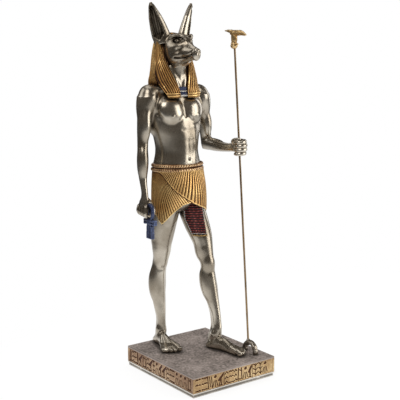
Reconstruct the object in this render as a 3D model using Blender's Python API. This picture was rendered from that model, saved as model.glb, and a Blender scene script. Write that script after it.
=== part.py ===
"""A standing jackal-headed deity: a cast figure on a rectangular plinth, with a long staff.

Metres, +Z up. The origin is the centre of the plinth's underside, and the figure faces -Y.
Everything that is built, bored or seated has its own named size. The carved figure is drawn in its
own units: it is 274.5 of them from its soles to its ear tips, and they are shares of FIGURE_HEIGHT.
"""
import math

import bmesh
import bpy
from mathutils import Matrix, Vector

# Plinth
PLINTH_WIDTH = 0.080
PLINTH_DEPTH = 0.091
PLINTH_HEIGHT = 0.0165
PLINTH_FOOT_HEIGHT = 0.0026
PLINTH_FOOT_INSET = 0.0006
PLINTH_RIM_HEIGHT = 0.0016
PLINTH_RIM_BEVEL = 0.0007
FRIEZE_MARGIN = 0.0022
FRIEZE_RECESS = 0.0004
STROKE_WIDTH = 0.0009
STROKE_PITCH = 0.0066
STROKE_DEPTH = 0.0005

# Figure
FIGURE_HEIGHT = 0.2745
FIGURE_UNITS = 274.5
UNIT = FIGURE_HEIGHT / FIGURE_UNITS
CLAY_VOXEL = 0.00085
SMOOTHING_PASSES = 5
BODY_TRIANGLES = 3200
KILT_PLEATS = 38
PLEAT_DEPTH = 0.00035
HEADCLOTH_RIDGES = 34
LAPPET_RIDGES = 6
RIDGE_DEPTH = 0.00035
LAPPET_TURN = 40
APRON_RIBS = 9
APRON_RIB_DEPTH = 0.00045
ANKH_THICKNESS = 0.0034
ANKH_STEM_WIDTH = 0.0054
ANKH_LOOP_WIDTH = 0.0030

# Staff
STAFF_DIAMETER = 0.0016
STAFF_TOP_HEIGHT = 0.2470
STAFF_SEAT_DEPTH = 0.0030
STAFF_SIDES = 12
STAFF_HEAD_LENGTH = 0.0230
STAFF_FOOT_LENGTH = 0.0155
STAFF_FOOT_HEIGHT = 0.0100
STAFF_FOOT_WIDTH = 0.0048
STAFF_FOOT_LEAD = 0.0018
STAFF_BORE_LENGTH = 0.0200
FIST_BORE_LENGTH = 0.0280
STAFF_PART_THINNING = 0.06
SMOOTH_ANGLE = 35
GRIP_CLEARANCE = 0.0003
SEAT_CLEARANCE = 0.0003
REST_GAP = 0.0003

SOLE_HEIGHT = PLINTH_HEIGHT + REST_GAP
FIGURE_FRAME = Matrix.Translation((0, 0, SOLE_HEIGHT)) @ Matrix.Scale(UNIT, 4)
GRIP = Vector((29.0, -12.8, 164.8))
STAFF_GROUND = Vector((30.0, -25.6, 0.0))
BODY_MIDDLE = -1.0
KILT_MIDDLE = -0.5
KILT_TOP = 147.0
RIGHT_HEEL = (-14.0, 42.6)
RIGHT_SPLAY = math.radians(9)
LEFT_HEEL = (11.6, 4.0)
LEFT_SPLAY = math.radians(14)
LEFT_BREADTH = 0.82
ANKH_PLACE = (-34.0, 19.4)
ANKH_ARM_HEIGHT = 106.6


def clear_scene():
    for item in list(bpy.data.objects):
        bpy.data.objects.remove(item, do_unlink=True)


def material(name, colour, roughness, metallic):
    made = bpy.data.materials.new(name)
    made.use_nodes = True
    shader = made.node_tree.nodes["Principled BSDF"]
    shader.inputs["Base Color"].default_value = (*colour, 1.0)
    shader.inputs["Roughness"].default_value = roughness
    shader.inputs["Metallic"].default_value = metallic
    return made


def to_object(name, bm, frame=None):
    """Turn a bmesh of closed shapes into an object, in metres."""
    if frame is not None:
        bmesh.ops.transform(bm, matrix=frame, verts=bm.verts)
    bmesh.ops.recalc_face_normals(bm, faces=bm.faces)
    mesh = bpy.data.meshes.new(name)
    bm.to_mesh(mesh)
    bm.free()
    made = bpy.data.objects.new(name, mesh)
    bpy.context.collection.objects.link(made)
    return made


def finish(made, surface):
    """Give a piece its one material, and smooth shading between its sharp edges."""
    made.data.materials.clear()
    made.data.materials.append(surface)
    made.data.shade_smooth()
    made.data.set_sharp_from_angle(angle=math.radians(SMOOTH_ANGLE))


def apply_modifiers(target):
    """Replace an object's mesh by the mesh that its modifiers make."""
    graph = bpy.context.evaluated_depsgraph_get()
    mesh = bpy.data.meshes.new_from_object(target.evaluated_get(graph))
    target.modifiers.clear()
    target.data = mesh


def drop_crumbs(made):
    """Delete flat flaps that a cut can leave: a shell of under four faces can't enclose anything."""
    bm = bmesh.new()
    bm.from_mesh(made.data)
    crumbs = []
    seen = set()
    for face in bm.faces:
        if face in seen:
            continue
        island, edge_of_island = {face}, [face]
        while edge_of_island:
            for edge in edge_of_island.pop().edges:
                for other in edge.link_faces:
                    if other not in island:
                        island.add(other)
                        edge_of_island.append(other)
        seen |= island
        if len(island) < 4:
            crumbs.extend(island)
    bmesh.ops.delete(bm, geom=crumbs, context="FACES")
    bm.to_mesh(made.data)
    bm.free()


def combine(target, tool, operation):
    """Unite a tool with an object, or cut it away, and drop the tool."""
    step = target.modifiers.new(operation.title(), "BOOLEAN")
    step.operation = operation
    step.solver = "EXACT"
    step.object = tool
    apply_modifiers(target)
    bpy.data.objects.remove(tool, do_unlink=True)


def smooth_rows(rows, steps):
    """Rows of numbers, filled in along a smooth curve that passes through every row."""
    filled = []
    for index in range(len(rows) - 1):
        before = rows[max(index - 1, 0)]
        start, end = rows[index], rows[index + 1]
        after = rows[min(index + 2, len(rows) - 1)]
        for step in range(steps):
            t = step / steps
            row = []
            for a, b, c, d in zip(before, start, end, after):
                row.append(0.5 * (2 * b + (c - a) * t + (2 * a - 5 * b + 4 * c - d) * t * t
                                  + (3 * b - a - 3 * c + d) * t ** 3))
            filled.append(row)
    filled.append(list(rows[-1]))
    return filled


def skin(bm, rings):
    """Join rings of points into one closed tube."""
    made = [[bm.verts.new(point) for point in ring] for ring in rings]
    sides = len(rings[0])
    for low, high in zip(made, made[1:]):
        for index in range(sides):
            following = (index + 1) % sides
            bm.faces.new((low[index], low[following], high[following], high[index]))
    bm.faces.new(made[0])
    bm.faces.new(made[-1])


def oval(centre, across, along, sides=20, squareness=2.0):
    """Points round an oval, whose corners fill out as squareness grows."""
    points = []
    for index in range(sides):
        turn = 2 * math.pi * index / sides
        c, s = math.cos(turn), math.sin(turn)
        u = math.copysign(abs(c) ** (2 / squareness), c)
        v = math.copysign(abs(s) ** (2 / squareness), s)
        points.append(centre + across * u + along * v)
    return points


def upright(bm, rows, squareness=2.2, steps=3):
    """An upright form from rows of height, place and half-widths: z, x, y, across, deep."""
    rings = []
    for z, x, y, across, deep in smooth_rows(rows, steps):
        across_way, deep_way = Vector((across, 0, 0)), Vector((0, deep, 0))
        rings.append(oval(Vector((x, y, z)), across_way, deep_way, 20, squareness))
    skin(bm, rings)


def limb(bm, rows, sides=14, steps=3, up=Vector((0, 0, 1))):
    """A form along a path, from rows of x, y, z, half-width and half-height."""
    filled = [(Vector(row[:3]), row[3], row[4]) for row in smooth_rows(rows, steps)]
    rings = []
    for index, (centre, wide, tall) in enumerate(filled):
        ahead = filled[min(index + 1, len(filled) - 1)][0]
        behind = filled[max(index - 1, 0)][0]
        along = (ahead - behind).normalized()
        side = along.cross(up)
        if side.length < 0.1:
            side = Vector((1, 0, 0))
        side = (side - along * side.dot(along)).normalized()
        rings.append(oval(centre, side * wide, side.cross(along) * tall, sides))
    skin(bm, rings)


def rod(bm, points, radius, end_radius=None):
    """A round limb of even or tapering radius."""
    end = radius if end_radius is None else end_radius
    last = len(points) - 1
    rows = []
    for index, point in enumerate(points):
        size = radius + (end - radius) * index / last
        rows.append((*point, size, size))
    limb(bm, rows, sides=10, steps=2, up=Vector((0.3, 0.2, 1)).normalized())
    for point, size in ((points[0], radius), (points[-1], end)):
        ball(bm, point, (size, size, size), segments=10)


def ball(bm, centre, radii, turn=0.0, segments=16):
    """An ellipsoid, turned about the upright."""
    place = Matrix.Translation(centre) @ Matrix.Rotation(turn, 4, "Z") @ Matrix.Diagonal((*radii, 1))
    bmesh.ops.create_uvsphere(bm, u_segments=segments, v_segments=segments // 2, radius=1, matrix=place)


def both(point):
    """A point and its mirror image."""
    x, y, z = point
    return ((-x, y, z), (x, y, z))


def model_trunk(bm):
    upright(bm, [
        (108, -0.5, 30.0, 12.0, 9.0), (120, -0.5, 30.0, 19.0, 15.0), (138, -0.5, 30.0, 20.2, 15.2),
        (149, -0.8, 30.2, 20.2, 15.0), (154, -0.9, 30.0, 19.0, 14.3), (159, -1.0, 29.8, 18.1, 13.5),
        (164, -1.0, 29.8, 18.3, 13.3), (170, -1.0, 30.2, 19.4, 13.6), (177, -1.0, 30.7, 21.4, 14.0),
        (184, -1.0, 31.0, 22.6, 14.2), (191, -1.0, 31.4, 23.2, 13.8), (198, -1.0, 32.4, 23.2, 12.6),
        (204, -1.0, 33.2, 21.5, 11.0), (210, -1.0, 33.5, 15.5, 8.8), (215, -1.0, 33.5, 9.5, 7.5),
    ], squareness=2.3)
    middle = BODY_MIDDLE
    for side in (-1, 1):
        ball(bm, (middle + side * 11.2, 24.4, 192.6), (12.2, 6.6, 11.2), turn=side * 0.22)
        ball(bm, (middle + side * 18.6, 36.0, 188.0), (5.6, 8.0, 14.0))
        ball(bm, (middle + side * 11.0, 41.4, 196.0), (8.4, 3.6, 10.0))
        ball(bm, (middle + side * 14.0, 33.0, 206.0), (13.0, 7.6, 5.4))
        ball(bm, (middle + side * 4.8, 20.6, 168.0), (4.8, 3.6, 14.0))


def model_neck(bm):
    limb(bm, [(0, 28, 232, 8.5, 9.0), (-0.2, 27.5, 222, 7.4, 7.8), (-0.4, 28.5, 212, 7.6, 8.0),
              (-0.7, 31.0, 200, 9.0, 9.0)])


def model_right_arm(bm):
    ball(bm, (-26.6, 33.0, 202.0), (7.6, 8.4, 10.6))
    upright(bm, [(119, -34.4, 26.6, 2.8, 4.4), (124, -34.5, 26.3, 2.5, 3.4), (129, -34.5, 26.2, 2.5, 2.8),
                 (135, -34.4, 27.8, 2.7, 2.9), (140, -34.0, 29.0, 3.0, 3.2), (147, -33.5, 30.0, 3.6, 3.8),
                 (155, -33.0, 30.4, 4.0, 4.3), (162, -32.5, 31.2, 4.1, 4.4), (170, -32.0, 31.7, 4.3, 4.6),
                 (178, -31.4, 32.1, 4.7, 5.1), (186, -30.4, 32.4, 5.3, 5.8), (194, -29.2, 32.6, 6.0, 6.6),
                 (203, -27.6, 33.0, 6.4, 7.4)], squareness=2.0)
    ball(bm, (-34.2, 26.6, 118.2), (3.2, 6.4, 6.0))
    for y in (21.6, 25.2, 28.7, 32.0):
        rod(bm, [(-36.2, y, 116), (-36.6, y, 112), (-34.0, y, 110), (-31.6, y, 112), (-31.4, y, 115.5)], 1.75)
    rod(bm, [(-33.6, 22.5, 122.5), (-32.6, 18.6, 119.5), (-32.2, 16.6, 116.5)], 2.0, 1.7)


def model_left_arm(bm):
    ball(bm, (24.8, 33.0, 200.8), (7.4, 8.0, 10.0))
    upright(bm, [(162, 33.4, 36.4, 3.6, 3.8), (167, 33.2, 36.2, 4.2, 4.6), (174, 32.0, 35.8, 4.6, 5.2),
                 (183, 29.8, 34.8, 5.2, 5.9), (193, 26.8, 33.8, 6.1, 6.8), (203, 25.0, 33.2, 6.4, 7.4)],
            squareness=2.0)
    limb(bm, [(33.6, 37.0, 165.0, 3.8, 4.2), (33.4, 32.0, 164.4, 4.5, 4.8), (32.6, 23.0, 164.0, 4.3, 4.5),
              (31.6, 13.0, 163.8, 3.5, 3.7), (30.6, 4.0, 163.8, 2.7, 3.1), (30.2, -1.0, 164.0, 3.2, 3.4)])
    ball(bm, (31.4, -7.0, 165.0), (3.6, 6.6, 6.4))
    for z in (159.6, 163.2, 166.8, 170.2):
        rod(bm, [(33.4, -9.0, z), (33.0, -15.0, z), (29.6, -18.4, z), (25.6, -16.6, z), (24.6, -12.0, z),
                 (26.6, -9.4, z)], 1.8)
    rod(bm, [(28.6, -4.0, 168.0), (25.6, -8.0, 169.6), (25.2, -13.4, 170.6)], 2.0, 1.7)
    ball(bm, (28.6, -8.0, 165.0), (3.0, 4.0, 6.0))


def model_right_leg(bm):
    upright(bm, [(7, -14.2, 34.6, 3.8, 5.0), (10, -14.2, 34.2, 3.7, 4.8), (15, -14.0, 34.5, 3.2, 3.8),
                 (20.5, -13.9, 34.9, 3.2, 3.7), (28, -13.6, 36.7, 4.4, 4.9), (35, -13.4, 38.4, 5.3, 5.8),
                 (42.5, -13.9, 39.2, 6.2, 6.5), (49, -14.0, 39.9, 6.7, 6.8), (56, -13.8, 39.9, 6.7, 6.7),
                 (62, -13.0, 39.3, 6.4, 6.4), (67, -12.4, 38.7, 6.0, 6.2), (75, -11.8, 37.3, 6.5, 6.8),
                 (81, -11.6, 37.0, 7.6, 8.2), (86, -11.4, 36.6, 8.6, 9.3), (98, -10.8, 35.0, 9.8, 11.0),
                 (112, -9.8, 33.0, 10.6, 12.5), (124, -8.8, 31.6, 10.2, 12.0)], squareness=2.1)
    ball(bm, (-12.4, 34.2, 68.5), (4.2, 2.2, 4.4))


def model_left_leg(bm):
    upright(bm, [(7, 13.6, -1.4, 3.8, 5.0), (11, 14.2, -2.4, 3.6, 4.6), (16.5, 15.0, -3.2, 3.3, 4.1),
                 (21, 15.6, -2.0, 3.2, 3.8), (28, 15.8, -0.2, 3.6, 4.0), (38, 15.5, 3.5, 5.1, 5.6),
                 (49, 15.0, 7.2, 6.4, 7.2), (58, 14.5, 8.6, 6.3, 7.0), (65, 14.1, 8.4, 5.5, 5.9),
                 (72, 13.7, 9.4, 5.9, 6.2), (79, 13.3, 11.6, 6.9, 7.4), (85, 13.0, 13.8, 8.0, 8.6),
                 (91, 12.6, 16.4, 9.2, 10.2), (98, 11.8, 19.6, 10.2, 11.4), (112, 10.0, 25.0, 10.8, 12.4),
                 (124, 9.0, 27.6, 10.2, 11.6)], squareness=2.1)
    ball(bm, (14.2, 3.8, 67.5), (4.2, 2.2, 4.4))


def model_foot(bm, heel, splay, outward, breadth):
    """A bare foot from its heel, pointing to -Y and turned out by an angle."""
    ahead = Vector((outward * math.sin(splay), -math.cos(splay), 0))
    aside = Vector((outward * math.cos(splay), math.sin(splay), 0))

    def at(v, u, z):
        return Vector((heel[0], heel[1], 0)) + ahead * v + aside * u * breadth + Vector((0, 0, z))

    rings = []
    rows = [(0.0, 0.0, 2.4, 3.4), (2.5, 0.0, 4.0, 7.0), (8.0, 0.0, 4.3, 10.5), (14.0, 0.2, 4.4, 11.0),
            (20.0, 0.8, 5.4, 8.2), (26.0, 1.4, 6.8, 5.8), (31.0, 1.6, 7.2, 4.4)]
    for v, u, wide, tall in smooth_rows(rows, 3):
        upward = Vector((0, 0, tall / 2 + 0.3))
        rings.append(oval(at(v, u, tall / 2 - 0.3), aside * wide * breadth, upward, 18, 2.6))
    skin(bm, rings)
    toes = ((-4.3, 37.4, 2.4), (-0.6, 37.2, 1.8), (2.5, 36.4, 1.7), (5.2, 35.2, 1.6), (7.6, 33.4, 1.5))
    for u, v, size in toes:
        rod(bm, [at(v - 9, u * 0.85, size + 0.8), at(v - 4, u, size + 0.9), at(v - size, u, size)], size)


def model_head(bm):
    ball(bm, (0, 30.0, 242.0), (11.2, 12.0, 10.9))
    ball(bm, (0, 23.0, 244.2), (7.4, 7.6, 8.0))
    for x, y, z in both((5.4, 26.0, 236.4)):
        ball(bm, (x, y, z), (6.2, 8.6, 8.4))
    for x, y, z in both((4.7, 19.4, 248.0)):
        ball(bm, (x, y, z), (2.8, 3.0, 2.3))
    limb(bm, [(0, 26.0, 237.8, 9.0, 9.4), (0, 19.0, 238.6, 7.4, 8.4), (0, 14.0, 238.8, 5.8, 7.6),
              (0, 10.0, 238.4, 4.8, 6.6), (0, 6.6, 237.6, 4.1, 5.2), (0, 3.6, 237.0, 3.0, 3.4)])
    ball(bm, (0, 3.6, 239.2), (2.5, 2.0, 2.1))


def model_ear(bm, side):
    """A tall pointed ear, scooped out in front and turned a little outward."""
    base = Vector((side * 9.9, 35.8, 247.0))
    tip = Vector((side * 19.6, 38.1, 275.2))
    turned = math.radians(33)
    across = Vector((side * math.cos(turned), math.sin(turned), 0))
    behind = Vector((-side * math.sin(turned), math.cos(turned), 0))
    sides = 20
    rings = []
    rows = [(0.0, 6.9, 5.0), (0.18, 6.9, 4.6), (0.4, 6.2, 4.0), (0.65, 4.6, 3.2), (0.85, 2.7, 2.4),
            (1.0, 1.0, 1.1)]
    for share, half_width, thickness in smooth_rows(rows, 3):
        centre = base.lerp(tip, share)
        scoop = min(share / 0.2, 1.0)
        ring = []
        for index in range(sides):
            turn = 2 * math.pi * index / sides
            c, s = math.cos(turn), math.sin(turn)
            depth = thickness * s if s > 0 else thickness * s * (0.6 - 0.95 * scoop)
            ring.append(centre + across * half_width * c + behind * depth)
        rings.append(ring)
    skin(bm, rings)


def ridged_ring(centre, across, deep, ridges, depth, shift=0.0, squareness=2.2):
    """A level oval with ridges all round it."""
    sides = ridges * 2
    points = []
    for index in range(sides):
        turn = 2 * math.pi * index / sides
        c, s = math.cos(turn), math.sin(turn)
        u = math.copysign(abs(c) ** (2 / squareness), c)
        v = math.copysign(abs(s) ** (2 / squareness), s)
        out = Vector((u, v, 0)).normalized()
        wave = -depth * (0.5 - 0.5 * math.cos(ridges * turn + shift))
        points.append(centre + Vector((across * u, deep * v, 0)) + out * wave)
    return points


def hem_height(turn):
    """The kilt's lower edge by direction: 0 is +X, the front is -90 degrees. It dips at the wrap's tip."""
    angle = (math.degrees(turn) + 90 + 180) % 360 - 180
    if angle < -45:
        return 101.0 + 3.5 * min((-angle - 45) / 60, 1.0)
    if angle < 3:
        return 101.0 + 18.6 * (angle + 45) / 48
    if angle < 70:
        return 119.6 - 10.6 * ((angle - 3) / 67) ** 1.3
    return 109.0 - 4.5 * min((angle - 70) / 50, 1.0)


def model_kilt():
    """The pleated wrap: rings between the hem and the belt, ridged all round."""
    bm = bmesh.new()
    depth = PLEAT_DEPTH / UNIT
    profile = smooth_rows([(0.0, 23.4, 17.3, 28.0), (0.3, 23.5, 17.4, 28.1), (0.6, 23.1, 16.8, 28.6),
                           (0.85, 22.2, 15.9, 29.4), (1.0, 21.6, 15.6, 29.6)], 1)
    rings = []
    for share, across, deep, y in profile:
        ring = ridged_ring(Vector((KILT_MIDDLE, y, 0)), across, deep, KILT_PLEATS, depth, shift=2.6 * share)
        for point in ring:
            turn = math.atan2(point.y - y, point.x - KILT_MIDDLE)
            low = hem_height(turn)
            point.z = low + (KILT_TOP - low) * share
        rings.append(ring)
    made = [[bm.verts.new(point) for point in ring] for ring in rings]
    sides = len(made[0])
    for low, high in zip(made, made[1:]):
        for index in range(sides):
            following = (index + 1) % sides
            bm.faces.new((low[index], low[following], high[following], high[index]))
    for ring, height in ((made[0], 118.0), (made[-1], KILT_TOP)):
        hub = bm.verts.new((KILT_MIDDLE, 30.0, height))
        for index in range(sides):
            bm.faces.new((ring[index], ring[(index + 1) % sides], hub))
    return to_object("kilt", bm, FIGURE_FRAME)


def model_belt():
    """Two round bands, one over the other."""
    bm = bmesh.new()
    rows = [(144.4, 21.3, 15.4), (144.9, 22.1, 16.1), (146.6, 22.3, 16.2), (147.3, 21.7, 15.6),
            (148.0, 22.1, 15.9), (149.6, 21.8, 15.6), (150.3, 20.6, 14.6)]
    rings = []
    for z, across, deep in rows:
        middle = Vector((KILT_MIDDLE, 29.6, z))
        rings.append(oval(middle, Vector((across, 0, 0)), Vector((0, deep, 0)), 32, 2.2))
    skin(bm, rings)
    return to_object("belt", bm, FIGURE_FRAME)


def model_wig():
    """The headcloth's back: ridged rings from the crown to the shoulders."""
    bm = bmesh.new()
    depth = RIDGE_DEPTH / UNIT
    rings = []
    rows = [(205, 19.0, 6.0, 39.4), (215, 21.6, 8.8, 36.6), (220, 20.4, 9.0, 36.4), (226, 19.1, 8.8, 36.6),
            (233, 17.6, 8.6, 36.8), (240, 16.1, 8.4, 36.8), (246, 14.6, 7.8, 36.6), (250.5, 10.0, 5.6, 36.2)]
    for z, across, deep, y in rows:
        rings.append(ridged_ring(Vector((BODY_MIDDLE, y, z)), across, deep, HEADCLOTH_RIDGES, depth))
    skin(bm, rings)
    return to_object("wig", bm, FIGURE_FRAME)


def model_lappet(side):
    """One of the two locks that fall in front of the shoulders, with an end band."""
    bm = bmesh.new()
    depth = RIDGE_DEPTH / UNIT
    rows = smooth_rows([(12.0, 34.6, 244.0, 2.6, 3.6), (12.4, 33.0, 236.0, 3.4, 3.6),
                        (13.0, 30.6, 228.0, 4.4, 3.6), (12.4, 25.8, 217.0, 6.2, 3.4),
                        (11.0, 22.0, 209.0, 6.2, 3.2), (9.4, 20.0, 202.0, 4.8, 2.8)], 1)
    rings = []
    for x, y, z, wide, thick in rows:
        turned = math.radians(LAPPET_TURN) * min((z - 202) / 26, 1.2)
        across = Vector((side * math.cos(turned), math.sin(turned), 0))
        front = Vector((side * math.sin(turned), -math.cos(turned), 0))
        centre = Vector((side * x + BODY_MIDDLE, y, z))
        ring = []
        steps = LAPPET_RIDGES * 3
        for index in range(steps + 1):
            share = index / steps
            wave = -depth * (0.5 - 0.5 * math.cos(2 * math.pi * LAPPET_RIDGES * share))
            crown = thick * (1 - 0.45 * (2 * share - 1) ** 2)
            ring.append(centre + across * wide * (2 * share - 1) + front * (crown + wave))
        for share in (0.8, 0.2):
            ring.append(centre + across * wide * (2 * share - 1) - front * thick)
        rings.append(ring)
    skin(bm, rings)
    return to_object("lappet", bm, FIGURE_FRAME)


def model_collar():
    """The bead collar that shows between the locks."""
    bm = bmesh.new()
    rings = []
    for z, size, y in ((199.0, 11.2, 30.0), (203.0, 12.2, 30.0), (206.5, 10.8, 29.4), (210.0, 8.6, 28.6)):
        rings.append(oval(Vector((KILT_MIDDLE, y, z)), Vector((size, 0, 0)), Vector((0, size, 0)), 24))
    skin(bm, rings)
    return to_object("collar", bm, FIGURE_FRAME)


def model_apron():
    """The ribbed tongue of cloth that lies on the front thigh."""
    bm = bmesh.new()
    rib = APRON_RIB_DEPTH / UNIT
    top, length, back = 121.0, 33.5, 9.0
    rings = []
    for index in range(APRON_RIBS * 2 + 1):
        share = index / (APRON_RIBS * 2)
        inner = 0.5 + 6.5 * share
        outer = 14.0 + 4.5 * share ** 0.7
        front = 12.6 - 7.6 * share + rib * (index % 2)
        ring = []
        for across in (0, 1 / 6, 1 / 3, 1 / 2, 2 / 3, 5 / 6, 1):
            curve = 3.1 * (2 * across - 1) ** 2
            ring.append(Vector((inner + (outer - inner) * across, front + curve, top - length * share)))
        for across in (1, 1 / 2, 0):
            ring.append(Vector((inner + (outer - inner) * across, front + back, top - length * share)))
        rings.append(ring)
    skin(bm, rings)
    return to_object("apron", bm, FIGURE_FRAME)


def ankh_bar(start, end, start_width, end_width):
    """A flat bar of the looped cross, between two points of its plane (y, z)."""
    bm = bmesh.new()
    half = ANKH_THICKNESS / UNIT / 2
    along = Vector((0, end[0] - start[0], end[1] - start[1])).normalized()
    aside = Vector((0, -along.z, along.y))
    rings = []
    for (y, z), width in ((start, start_width), (end, end_width)):
        middle = Vector((ANKH_PLACE[0], y, z))
        ring = []
        for thick, wide in ((-1, -1), (1, -1), (1, 1), (-1, 1)):
            ring.append(middle + Vector((thick * half, 0, 0)) + aside * wide * width / 2)
        rings.append(ring)
    skin(bm, rings)
    return to_object("ankh", bm, FIGURE_FRAME)


def model_ankh():
    """The looped cross that hangs from the right hand."""
    x, y = ANKH_PLACE
    level = ANKH_ARM_HEIGHT
    wide = ANKH_STEM_WIDTH / UNIT
    made = ankh_bar((y, level - 12.8), (y, level + 1.4), wide * 1.18, wide * 0.8)
    for side in (-1, 1):
        arm = ankh_bar((y - side * 0.3, level), (y + side * 8.8, level), wide * 0.6, wide * 0.86)
        combine(made, arm, "UNION")
    bm = bmesh.new()
    turns, round_sides = 14, 8
    loop = []
    for index in range(turns):
        turn = 2 * math.pi * index / turns
        out = Vector((0, math.sin(turn), math.cos(turn)))
        centre = Vector((x, y + out.y * 3.7, level + 7.8 + out.z * 5.9))
        thick = Vector((ANKH_THICKNESS / UNIT / 2, 0, 0))
        ring = oval(centre, thick, out * ANKH_LOOP_WIDTH / UNIT / 2, round_sides)
        loop.append([bm.verts.new(point) for point in ring])
    for index in range(turns):
        one, two = loop[index], loop[(index + 1) % turns]
        for step in range(round_sides):
            following = (step + 1) % round_sides
            bm.faces.new((one[step], one[following], two[following], two[step]))
    combine(made, to_object("loop", bm, FIGURE_FRAME), "UNION")
    return made


def carve_body():
    """Join the body's forms into one skin, smooth it and thin its triangles."""
    bm = bmesh.new()
    model_trunk(bm)
    model_neck(bm)
    model_right_arm(bm)
    model_left_arm(bm)
    model_right_leg(bm)
    model_left_leg(bm)
    model_foot(bm, RIGHT_HEEL, RIGHT_SPLAY, -1, 1.0)
    model_foot(bm, LEFT_HEEL, LEFT_SPLAY, 1, LEFT_BREADTH)
    model_head(bm)
    for side in (-1, 1):
        model_ear(bm, side)
    body = to_object("figure", bm, FIGURE_FRAME)
    remesh = body.modifiers.new("Remesh", "REMESH")
    remesh.mode = "VOXEL"
    remesh.voxel_size = CLAY_VOXEL
    smooth = body.modifiers.new("Smooth", "SMOOTH")
    smooth.factor = 0.5
    smooth.iterations = SMOOTHING_PASSES
    apply_modifiers(body)
    for vertex in body.data.vertices:
        vertex.co.z = max(vertex.co.z, SOLE_HEIGHT)
    thin = body.modifiers.new("Decimate", "DECIMATE")
    thin.ratio = BODY_TRIANGLES / (2 * len(body.data.polygons))
    apply_modifiers(body)
    return body


def figure_point(place):
    return FIGURE_FRAME @ place


def staff_axis():
    """The staff's line: from the plinth up through the left fist."""
    low = figure_point(STAFF_GROUND)
    grip = figure_point(GRIP)
    return low, (grip - low).normalized()


def staff_point(height):
    """The point of the staff's line at a height."""
    low, along = staff_axis()
    return low + along * ((height - low.z) / along.z)


def cylinder_between(name, start, end, diameter, sides):
    bm = bmesh.new()
    along = end - start
    place = Matrix.Translation((start + end) / 2) @ along.to_track_quat("Z", "Y").to_matrix().to_4x4()
    bmesh.ops.create_cone(bm, cap_ends=True, segments=sides, radius1=diameter / 2, radius2=diameter / 2,
                          depth=along.length, matrix=place)
    return to_object(name, bm)


def bore_for_staff(target, low, high, clearance):
    """Cut the staff's hole through or into a piece."""
    cutter = cylinder_between("bore", staff_point(low), staff_point(high),
                              STAFF_DIAMETER + 2 * clearance, STAFF_SIDES)
    combine(target, cutter, "DIFFERENCE")


def make_figure():
    body = carve_body()
    for piece in (model_kilt(), model_belt(), model_wig(), model_lappet(-1), model_lappet(1),
                  model_collar(), model_apron(), model_ankh()):
        combine(body, piece, "UNION")
    grip_height = figure_point(GRIP).z
    reach = FIST_BORE_LENGTH / 2
    bore_for_staff(body, grip_height - reach, grip_height + reach, GRIP_CLEARANCE)
    drop_crumbs(body)
    finish(body, material("bronze_skin", (0.36, 0.32, 0.26), 0.32, 0.9))


def frieze_strokes():
    """Shallow upright and level strokes along the four sides, as one cutter. They are not letters."""
    bm = bmesh.new()
    low = PLINTH_FOOT_HEIGHT + FRIEZE_MARGIN * 0.5
    tall = PLINTH_HEIGHT - PLINTH_RIM_HEIGHT - FRIEZE_MARGIN * 0.5 - low
    depth = FRIEZE_RECESS + STROKE_DEPTH
    level_length = STROKE_PITCH * 0.55
    for side in range(4):
        half_run, half_out = PLINTH_WIDTH / 2, PLINTH_DEPTH / 2
        if side % 2:
            half_run, half_out = half_out, half_run
        spin = Matrix.Rotation(side * math.pi / 2, 4, "Z")
        count = int((2 * (half_run - FRIEZE_MARGIN) - STROKE_WIDTH) // STROKE_PITCH)
        for index in range(count):
            along = (index - (count - 1) / 2) * STROKE_PITCH
            kind = (index * 3 + side * 2) % 4
            bars = [(0.5, STROKE_WIDTH, tall * 0.78)]
            if kind == 1:
                bars = [(0.3, level_length, STROKE_WIDTH), (0.7, level_length, STROKE_WIDTH)]
            if kind == 3:
                bars = [(0.72, level_length, STROKE_WIDTH), (0.28, STROKE_WIDTH, tall * 0.36)]
            for share, wide, high in bars:
                middle = Matrix.Translation((along, -half_out, low + tall * share))
                place = spin @ middle @ Matrix.Diagonal((wide, 2 * depth, high, 1))
                bmesh.ops.create_cube(bm, size=1, matrix=place)
    return to_object("strokes", bm)


def make_plinth():
    """A block with a set-back foot band, a sunk frieze and a bevelled rim."""
    foot_top = PLINTH_FOOT_HEIGHT
    frieze_low = foot_top + FRIEZE_MARGIN * 0.4
    rim_low = PLINTH_HEIGHT - PLINTH_RIM_HEIGHT
    levels = (
        (0.0, -PLINTH_FOOT_INSET),
        (foot_top, -PLINTH_FOOT_INSET),
        (foot_top, 0.0),
        (frieze_low, 0.0),
        (frieze_low, -FRIEZE_RECESS),
        (rim_low, -FRIEZE_RECESS),
        (rim_low, 0.0),
        (PLINTH_HEIGHT - PLINTH_RIM_BEVEL, 0.0),
        (PLINTH_HEIGHT, -PLINTH_RIM_BEVEL),
    )
    bm = bmesh.new()
    rings = []
    for height, grow in levels:
        x, y = PLINTH_WIDTH / 2 + grow, PLINTH_DEPTH / 2 + grow
        rings.append([Vector((sx * x, sy * y, height)) for sx, sy in ((1, 1), (-1, 1), (-1, -1), (1, -1))])
    skin(bm, rings)
    plinth = to_object("plinth", bm)
    combine(plinth, frieze_strokes(), "DIFFERENCE")
    finish(plinth, material("plinth_bronze", (0.24, 0.21, 0.18), 0.45, 0.8))


def make_staff_rod():
    low = staff_point(PLINTH_HEIGHT + REST_GAP + STAFF_FOOT_HEIGHT - STAFF_SEAT_DEPTH)
    high = staff_point(SOLE_HEIGHT + STAFF_TOP_HEIGHT)
    made = cylinder_between("staff_rod", low, high, STAFF_DIAMETER, STAFF_SIDES)
    finish(made, material("staff_rod_bronze", (0.20, 0.15, 0.08), 0.35, 0.9))


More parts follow.
